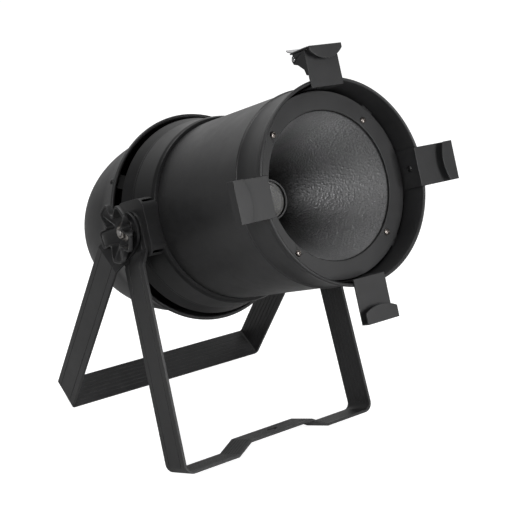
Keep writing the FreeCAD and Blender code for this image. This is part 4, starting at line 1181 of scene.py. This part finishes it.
@dataclass
class Softened(Assembly):
    """Cut, bent and turned nodes with their sharp edges broken."""

    widths: dict[str, float] = field(
        default_factory=lambda: {"front_bracket": 0.16, "rear_bracket": 0.16, "gland_nut": 0.2}
    )
    usual_width: float = 0.35
    limit: float = 28.0
    finishes: dict[str, Finish] = field(default_factory=dict)

    def body_of(self, node: str) -> str:
        """Find the body a node belongs to.

        Args:
            node: The node's name.

        Returns:
            The body's name.
        """
        bodies = self.frame["record"]["behaviour"]["bodies"]
        return next(name for name, nodes in bodies.items() if node in nodes)

    def slot_of(self, node: str) -> str:
        """Find a node's material slot.

        Args:
            node: The node's name.

        Returns:
            The slot's name.
        """
        parts = self.frame["record"]["subparts"]
        return next(part["material_slot"] for part in parts if part["node"] == node)

    def copy_of(self, node: str) -> bpy.types.Object:
        """Copy a node's mesh with joined corners and broken edges.

        Args:
            node: The node's name.

        Returns:
            The new object.
        """
        mesh = bpy.data.meshes.new(node + "_soft")
        shape = bmesh.new()
        shape.from_mesh(self.frame["nodes"][node].data)
        bmesh.ops.remove_doubles(shape, verts=shape.verts, dist=0.000002)
        turn_outwards(shape)
        for face in shape.faces:
            face.smooth = True
        shape.to_mesh(mesh)
        shape.free()
        piece = bpy.data.objects.new(node + "_soft", mesh)
        bpy.context.scene.collection.objects.link(piece)
        edges = piece.modifiers.new("broken_edges", "BEVEL")
        edges.width = self.widths.get(node, self.usual_width) * MM
        edges.segments = 2
        edges.limit_method = "ANGLE"
        edges.angle_limit = math.radians(self.limit)
        edges.use_clamp_overlap = False
        flats = piece.modifiers.new("flat_faces", "WEIGHTED_NORMAL")
        flats.weight = 100
        flats.keep_sharp = False
        bpy.context.view_layer.update()
        graph = bpy.context.evaluated_depsgraph_get()
        piece.data = bpy.data.meshes.new_from_object(
            piece.evaluated_get(graph), preserve_all_data_layers=True, depsgraph=graph
        )
        piece.modifiers.clear()
        piece.data.materials.clear()
        return piece

    def build(self) -> list[bpy.types.Object]:
        """Make a copy of each node.

        Returns:
            The new objects.
        """
        made = []
        for node, finish in self.finishes.items():
            piece = self.copy_of(node)
            piece.data.materials.append(finish.material())
            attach(piece, self.body_of(node))
            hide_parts(node)
            LOG.info("softened %s: %d faces, %s", node, len(piece.data.polygons), finish.name)
            made.append(piece)
        return made


@dataclass
class Reflector(Assembly):
    """Deep bowl with hammered facets and a flat flange behind the ring plate."""

    neck: float = 22.0
    mouth: float = 74.2
    base: float = 92.0
    front: float = 194.5
    wall: float = 1.2
    flange: float = 76.7
    facet: float = 2.5
    dent: float = 0.42
    # Painted shade reaches from the neck up to this share of the bowl's depth; at the lip it starts from
    # lip_from.
    neck_shade_reach: float = 0.85
    lip_from: float = 0.985
    around: int = 560
    along: int = 150
    back_rows: int = 24
    metal: Finish = HammeredMetal("hammered_aluminium")

    def profile(self, share: float) -> Point:
        """Inner line of the bowl.

        Args:
            share: Nought at the neck, one at the mouth.

        Returns:
            Radius and place along the can.
        """
        radius = self.neck + (self.mouth - self.neck) * share
        spread = self.mouth * self.mouth - self.neck * self.neck
        rise = (radius * radius - self.neck * self.neck) / spread
        return radius, self.base + (self.front - self.base) * rise

    def painted_shade(self, piece: bpy.types.Object) -> None:
        """Store painted shade for each place of the bowl: darker in its deep neck, at its lip and over its
        back.

        Args:
            piece: The bowl.
        """
        # Painted shade: the back is fully dark, the neck fades out with depth, and the lip darkens over its
        # last rows.
        painted_shade = piece.data.attributes.new("painted_shade", "FLOAT", "POINT")
        inner = (self.along + 1) * self.around
        values = []
        for index in range(len(piece.data.vertices)):
            share = (index // self.around) / self.along
            edge = max(0.0, (share - self.lip_from) / 0.015)
            neck = max(0.0, 1.0 - share / self.neck_shade_reach)
            values.append(1.0 if index >= inner else max(edge, neck))
        painted_shade.data.foreach_set("value", values)

    def dimple(self, where: Vector) -> float:
        """Depth of the hammering at a place.

        Args:
            where: The place, in millimetres.

        Returns:
            Depth from nought to one.
        """
        near, after = noise.voronoi(where / self.facet)[0][:2]
        return min(1.0, max(0.0, (after - near) * 1.6))

    def build(self) -> list[bpy.types.Object]:
        """Make the bowl.

        Returns:
            The new objects.
        """
        draft = MeshDraft()
        rings: list[list[Vector]] = []
        waves = round_steps(self.around)
        for row in range(self.along + 1):
            share = (row / self.along) ** 0.8
            radius, along = self.profile(share)
            fade = min(1.0, min(share, 1.0 - share) * 25.0)
            ring = []
            for c, s in waves:
                depth = self.dimple(Vector((radius * c, radius * s, along))) * self.dent * fade
                reach = radius + depth
                ring.append(self.can.place(reach * c, reach * s, along + depth * 0.4 * fade))
            rings.append(ring)
        edge = [
            (self.mouth + 0.2, self.front),
            (self.flange - 0.2, self.front),
            (self.flange, self.front - 0.2),
            (self.flange, self.front - self.wall + 0.2),
            (self.flange - 0.2, self.front - self.wall),
            (self.mouth + self.wall + 0.4, self.front - self.wall),
        ]
        for row in range(self.back_rows):
            radius, along = self.profile(1.0 - (row + 1.0) / self.back_rows * 0.985)
            edge.append((radius + self.wall + self.dent, min(along, self.front - self.wall - 1.2)))
        edge.append((self.neck + self.wall, self.base))
        edge.append((self.neck + 0.1, self.base))
        for radius, along in edge:
            rings.append([self.can.place(radius * c, radius * s, along) for c, s in waves])
        draft.ring_loft(rings, close=True)
        piece = draft.build("reflector_bowl", Shading.CRISP)
        self.painted_shade(piece)
        return [self.put(piece, self.metal, Body.CAN, Slot.REFLECTOR, ("reflector",))]


@dataclass
class Screw:
    """Pan-head screw with a cross recess, standing on its space's xy plane."""

    head: float
    rise: float
    shank: float
    length: float
    recess_half: float = 0.42
    recess_reach: float = 1.9
    recess_deep: float = 0.95
    edge_rise: float = 0.15
    around: int = 72
    rows: int = 16

    def height(self, across: float, up: float) -> float:
        """Height of the head's top at a place.

        Args:
            across: Local x.
            up: Local y.

        Returns:
            Height in millimetres.
        """
        radius = math.hypot(across, up)
        share = min(1.0, radius / self.head)
        dome = self.rise * (1.0 - share**3.2) ** 0.5
        narrow, wide = min(abs(across), abs(up)), max(abs(across), abs(up))
        if narrow < self.recess_half and wide < self.recess_reach:
            return dome - self.recess_deep * min(1.0, (self.recess_reach - wide) / 0.35)
        return dome

    def draw(self, draft: MeshDraft, space: Space) -> None:
        """Add the screw to a draft.

        Args:
            draft: Where the faces go.
            space: Head's foot at the origin, shank along minus z.
        """
        waves = round_steps(self.around)
        line = [
            (self.shank * 0.8, -self.length),
            (self.shank, -self.length + 0.6),
            (self.shank, 0.0),
            (self.head, 0.0),
        ]
        rings = [[space.place(r * c, r * s, z) for c, s in waves] for r, z in line]
        for row in range(self.rows):
            share = 1.0 - row / self.rows
            radius = self.head * share**0.8 * 0.995
            ring = []
            for c, s in waves:
                across, up = radius * c, radius * s
                ring.append(space.place(across, up, max(self.edge_rise, self.height(across, up))))
            rings.append(ring)
        draft.ring_loft(rings, caps=True)


@dataclass
class Mouth(Assembly):
    """The four screws of the ring plate."""

    ring_at: float = 196.0
    circle: float = 81.2
    head: float = 3.4
    rise: float = 2.2
    shank: float = 1.9
    length: float = 6.4
    plated: Finish = BareMetal("plated_screw", (0.3, 0.27, 0.25), (0.2, 0.18, 0.17), (0.24, 0.4))

    def build(self) -> list[bpy.types.Object]:
        """Make the screws, each driven home at its own angle.

        Returns:
            The new objects.
        """
        draft = MeshDraft()
        screw = Screw(self.head, self.rise, self.shank, self.length)
        for turn in (45.0, 135.0, 225.0, 315.0):
            seat = self.can.turned(turn).moved(self.circle, 0.0, self.ring_at)
            screw.draw(draft, seat.turned(turn * 0.7 + 11.0))
        piece = draft.build("plate_screws", Shading.CRISP)
        return [self.put(piece, self.plated, Body.CAN, Slot.BRIGHT_SCREW, ("ring_screws",))]


@dataclass
class StarKnob(Assembly):
    """Dished five-lobed knob with its flange nut, on both sides."""

    seat: float = 125.6
    reach: float = 33.5
    deep: float = 15.4
    rim: float = 3.5
    foot: float = 13.6
    wall: float = 2.4
    floor: float = 2.6
    hole: float = 4.08
    phase: float = -102.0
    lobes: int = 5
    corner: float = 4.5
    around: int = 360
    nut_flats: float = 13.0
    nut_tall: float = 5.5
    nut_flange: float = 10.5
    nut_flange_t: float = 1.2
    plastic: Finish = Moulding("knob_plastic")
    zinc: Finish = BareMetal("zinc_nut", (0.36, 0.34, 0.32), (0.24, 0.22, 0.2), (0.24, 0.4))

    def clamp_space(self, side: int) -> Space:
        """Space with z outwards along the stud and x along the row frame's Y.

        Args:
            side: Minus one for left, one for right.

        Returns:
            The space.
        """
        out = Vector((float(side), 0.0, 0.0))
        ahead = Vector((0.0, 1.0, 0.0))
        matrix = Matrix((ahead, out.cross(ahead), out)).transposed().to_4x4()
        matrix.translation = self.can.matrix.translation + out * self.seat * MM
        return Space(matrix)

    def star(self, reach: float, valley: float, blunt: float, corner: float) -> list[float]:
        """Radius of a rounded star at each step round the stud.

        Args:
            reach: Radius of a lobe's tip.
            valley: Radius between lobes.
            blunt: Half angle of a lobe's flat.
            corner: Rounding radius.

        Returns:
            One radius for each step.
        """
        corners = []
        for lobe in range(self.lobes + 2):
            middle = 360.0 / self.lobes * (lobe - 1)
            for turn, distance in ((-blunt, reach), (blunt, reach), (180.0 / self.lobes, valley)):
                angle = math.radians(middle + turn)
                corners.append((angle, distance))
        flat = [(distance * math.cos(angle), distance * math.sin(angle)) for angle, distance in corners]
        smooth = soften(flat, corner, 8)
        polar = []
        last = corners[0][0]
        for across, up in smooth:
            angle = math.atan2(up, across)
            while angle < last - math.pi:
                angle += math.tau
            last = max(last, angle)
            polar.append((angle, math.hypot(across, up)))
        radii = []
        index = 0
        for step in range(self.around):
            angle = math.tau * step / self.around
            while index < len(polar) - 2 and polar[index + 1][0] < angle:
                index += 1
            (first, near), (second, far) = polar[index], polar[index + 1]
            share = 0.0 if second <= first else min(1.0, max(0.0, (angle - first) / (second - first)))
            radii.append(near + (far - near) * share)
        return radii

    def cone(self, radius: float, low: Point, high: Point) -> float:
        """Height of a cone at a radius.

        Args:
            radius: Where to read it.
            low: Height and radius at its foot.
            high: Height and radius at its rim.

        Returns:
            Height in millimetres.
        """
        share = (radius - low[1]) / (high[1] - low[1])
        return low[0] + (high[0] - low[0]) * min(1.0, max(0.0, share))

    def draw_star(self, draft: MeshDraft, space: Space, phase: float) -> None:
        """Add the star to a draft.

        Args:
            draft: Where the faces go.
            space: The clamp's space.
            phase: Direction of the first lobe in that space.
        """
        outside = self.star(self.reach, self.foot + 2.4, 17.0, self.corner)
        inside = self.star(self.reach - self.wall * 1.25, self.foot - 0.2, 15.5, self.corner * 0.8)
        rim_low = self.deep - self.rim
        under = ((0.0, self.foot), (rim_low, self.reach + 0.5))
        over = ((self.floor, self.foot - 1.2), (rim_low + self.wall, self.reach - 1.5))
        rings: list[list[Vector]] = []
        turned = space.turned(phase)
        for step in range(self.around):
            angle = math.tau * step / self.around
            c, s = math.cos(angle), math.sin(angle)
            far, near = outside[step], inside[step]
            low = self.cone(far, *under)
            dish = self.cone(near, *over)
            line = [(self.hole, 0.0), (self.foot - 0.6, 0.0), (self.foot, 0.35)]
            for share in (0.25, 0.5, 0.75):
                radius = self.foot + (far - self.foot) * share
                line.append((radius, self.cone(radius, *under) + 0.25))
            line += [(far - 0.7, low), (far, low + 0.6), (far, self.deep - 0.9)]
            line += [(far - 0.27, self.deep - 0.27), (far - 0.9, self.deep)]
            line += [(near + 0.7, self.deep), (near + 0.2, self.deep - 0.2), (near, self.deep - 0.7)]
            line += [(near, dish + 0.7), (near - 0.5, dish + 0.05)]
            for share in (0.7, 0.4, 0.1):
                radius = self.foot - 1.2 + max(0.0, near - self.foot + 0.6) * share
                line.append((radius, self.cone(radius, *over)))
            line += [(self.foot - 2.2, self.floor), (self.hole + 0.4, self.floor)]
            line.append((self.hole, self.floor - 0.4))
            rings.append([turned.place(r * c, r * s, z) for r, z in line])
        draft.ring_loft(rings, close=True)

    def draw_nut(self, draft: MeshDraft, space: Space) -> None:
        """Add the flange nut to a draft.

        Args:
            draft: Where the faces go.
            space: The clamp's space.
        """
        around = 144
        inscribed = self.nut_flats / 2
        rings = []
        for step in range(around):
            angle = math.tau * step / around
            c, s = math.cos(angle), math.sin(angle)
            away = (math.degrees(angle) + 30.0) % 60.0 - 30.0
            hexagon = min(inscribed / math.cos(math.radians(away)), inscribed * 1.135)
            drop = max(0.0, hexagon - inscribed * 1.0) * 0.577
            base, top = self.floor, self.floor + self.nut_tall
            line = [
                (self.hole, base),
                (self.nut_flange - 0.2, base),
                (self.nut_flange, base + 0.25),
                (self.nut_flange - 0.2, base + 0.8),
                (self.nut_flange - 1.6, base + self.nut_flange_t),
                (hexagon + 0.5, base + self.nut_flange_t + 0.25),
                (hexagon, base + self.nut_flange_t + 0.8),
                (hexagon, top - drop - 0.35),
                (hexagon - 0.25, top - drop - 0.1),
                (inscribed - 0.2, top),
                (self.hole + 0.7, top),
                (self.hole, top - 0.6),
            ]
            rings.append([space.place(r * c, r * s, z) for r, z in line])
        draft.ring_loft(rings, close=True)

    def build(self) -> list[bpy.types.Object]:
        """Make both knobs and nuts.

        Returns:
            The new objects.
        """
        made = []
        for side, word, body in ((-1, "left", Body.KNOB_LEFT), (1, "right", Body.KNOB_RIGHT)):
            space = self.clamp_space(side)
            star, nut = MeshDraft(), MeshDraft()
            self.draw_star(star, space, self.phase * side)
            self.draw_nut(nut, space)
            knob = star.build("star_" + word, Shading.SOFT)
            made.append(self.put(knob, self.plastic, body, Slot.PLASTIC, ("knob_" + word,)))
            flange_nut = nut.build("flange_nut_" + word, Shading.CRISP)
            made.append(self.put(flange_nut, self.zinc, body, Slot.ZINC, ("knob_nut_" + word,)))
        return made


@dataclass
class Studs(Assembly):
    """The two pivot studs with their rolled thread."""

    seat: float = 103.7
    head: float = 8.0
    head_t: float = 4.5
    radius: float = 4.0
    tip: float = 135.2
    thread_from: float = 126.0
    pitch: float = 1.25
    depth: float = 0.35
    chamfer: float = 0.9
    around: int = 48
    zinc: Finish = BareMetal("stud_plate", (0.4, 0.39, 0.38), (0.28, 0.27, 0.26), (0.24, 0.4))

    def build(self) -> list[bpy.types.Object]:
        """Make both studs.

        Returns:
            The new objects.
        """
        draft = MeshDraft()
        for side in (-1, 1):
            space = StarKnob(self.frame, self.can, seat=0.0).clamp_space(side)
            line = [
                (0.6, self.seat - self.head_t),
                (self.head - 0.6, self.seat - self.head_t),
                (self.head, self.seat - self.head_t + 0.6),
                (self.head, self.seat - 0.3),
                (self.head - 0.3, self.seat),
                (self.radius, self.seat),
                (self.radius, self.thread_from - 0.5),
            ]
            turns = [math.tau * step / self.around for step in range(self.around)]
            rings = [[space.place(r * math.cos(t), r * math.sin(t), z) for t in turns] for r, z in line]
            threaded = self.tip - self.chamfer - self.thread_from
            count = int(threaded / (self.pitch / 8))
            for row in range(count + 1):
                along = self.thread_from + threaded * row / count
                ring = []
                for turn in turns:
                    phase = (along / self.pitch - turn / math.tau) % 1.0
                    cut_in = self.depth * (1.0 - abs(phase * 2.0 - 1.0) ** 0.8)
                    radius = self.radius - cut_in
                    ring.append(space.place(radius * math.cos(turn), radius * math.sin(turn), along))
                rings.append(ring)
            end = self.radius - 1.0
            rings.append([space.place(end * math.cos(t), end * math.sin(t), self.tip) for t in turns])
            draft.ring_loft(rings, caps=True)
        piece = draft.build("stud_pair", Shading.CRISP)
        return [self.put(piece, self.zinc, Body.CAN, Slot.ZINC, ("pivot_studs",))]


@dataclass
class LatchSpring(Assembly):
    """Wound torsion spring round the latch pin, with a leg under the hook."""

    pin_up: float = 124.5
    pin_at: float = 205.0
    inner: float = 2.5
    wire: float = 1.0
    half: float = 12.9
    leg_up: float = 5.2
    leg_along: float = 9.3
    gap: float = 0.12
    steel: Finish = BareMetal("spring_steel", (0.42, 0.42, 0.42), (0.3, 0.3, 0.3), (0.25, 0.4))

    def build(self) -> list[bpy.types.Object]:
        """Make the spring.

        Returns:
            The new objects.
        """
        mean = self.inner + self.wire / 2
        pitch = self.wire + self.gap
        reach = self.half - self.wire / 2
        turns = 2 * reach / pitch
        steps = int(turns * 20)
        path = []
        for step in range(steps + 1):
            angle = math.tau * turns * (1.0 - step / steps)
            across = -reach + 2 * reach * step / steps
            path.append((across, mean * math.cos(angle), mean * math.sin(angle)))
        across = path[-1][0]
        for share in (0.25, 0.5, 0.75, 1.0):
            up = mean + (self.leg_up - mean - self.wire / 2) * share
            path.append((across, up, self.leg_along * share))
        places = [self.can.place(x, self.pin_up + up, self.pin_at + along) for x, up, along in path]
        draft = MeshDraft()
        tube_along(draft, places, self.wire / 2 * MM * 0.98, 8)
        piece = draft.build("wound_spring", Shading.SOFT)
        return [self.put(piece, self.steel, Body.LATCH, Slot.WIRE, ("latch_spring",))]


def sheet_metal_finishes() -> dict[str, Finish]:
    """Which finish each softened node takes.

    Returns:
        Finishes by node name.
    """
    bracket = SprayCoat("coat_bracket", wear=0.6, dust_amount=0.14)
    clip = SprayCoat("coat_clip", wear=0.5, grain=1100.0)
    plate = SprayCoat("coat_plate")
    # Painted shade: the bowl straps sit in the shaded gap behind the collar and take a near-black copy of the
    # coat that stands for that shade.
    inner = SprayCoat(
        "coat_strap_painted_shade", (0.004, 0.004, 0.004), (0.01, 0.01, 0.01), wear=0.1, dust_amount=0.0, ior=1.2
    )
    chassis = BareMetal("plain_aluminium", (0.42, 0.42, 0.43), (0.33, 0.33, 0.33), (0.3, 0.45))
    case = BareMetal("case_aluminium", (0.5, 0.5, 0.51), (0.42, 0.42, 0.42), (0.35, 0.5))
    zinc = BareMetal("zinc_plate", (0.66, 0.66, 0.67), (0.52, 0.52, 0.53), (0.2, 0.34))
    chrome = BareMetal("pin_plate", (0.72, 0.72, 0.73), (0.6, 0.6, 0.6), (0.1, 0.22))
    blackened = BareMetal("blackened_screw", (0.06, 0.06, 0.06), (0.04, 0.04, 0.04), (0.3, 0.45))
    fibre = Moulding("grip_fibre", (0.016, 0.015, 0.014), (0.03, 0.03, 0.03), (0.7, 0.85), 1400.0, 0.0001)
    plastic = Moulding("gland_plastic", roughness=(0.45, 0.6))
    return {
        "front_bracket": bracket,
        "rear_bracket": bracket,
        "front_ring_plate": plate,
        "ring_tabs": plate,
        "pivot_plates": plate,
        "bowl_straps": inner,
        "clip_left": clip,
        "clip_right": clip,
        "clip_bottom": clip,
        "clip_top": clip,
        "latch_hook": clip,
        "latch_tab": zinc,
        "latch_pin": chrome,
        "clip_rivets": blackened,
        "bowl_screws": blackened,
        "friction_washers": fibre,
        "knob_washer_left": zinc,
        "knob_washer_right": zinc,
        "led_holder": plastic,
        "led_module": LightFace("light_face"),
        "heat_sink": chassis,
        "chassis_plate": chassis,
        "driver_box": case,
        "cable_gland": plastic,
        "gland_nut": plastic,
    }


def main() -> None:
    """Build the studio and the lantern."""
    logging.basicConfig(level=logging.INFO, format="%(name)s: %(message)s")
    for leftover in list(bpy.data.objects):
        bpy.data.objects.remove(leftover)
    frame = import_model()
    Studio().build()
    can = Space.of_can(frame)
    assemblies: list[Assembly] = [
        CanShell(frame, can),
        Reflector(frame, can),
        Mouth(frame, can),
        StarKnob(frame, can),
        Studs(frame, can),
        LatchSpring(frame, can),
        Softened(frame, can, finishes=sheet_metal_finishes()),
    ]
    for assembly in assemblies:
        made = assembly.build()
        LOG.info("%s: %d pieces", type(assembly).__name__, len(made))


if __name__ == "__main__":
    main()
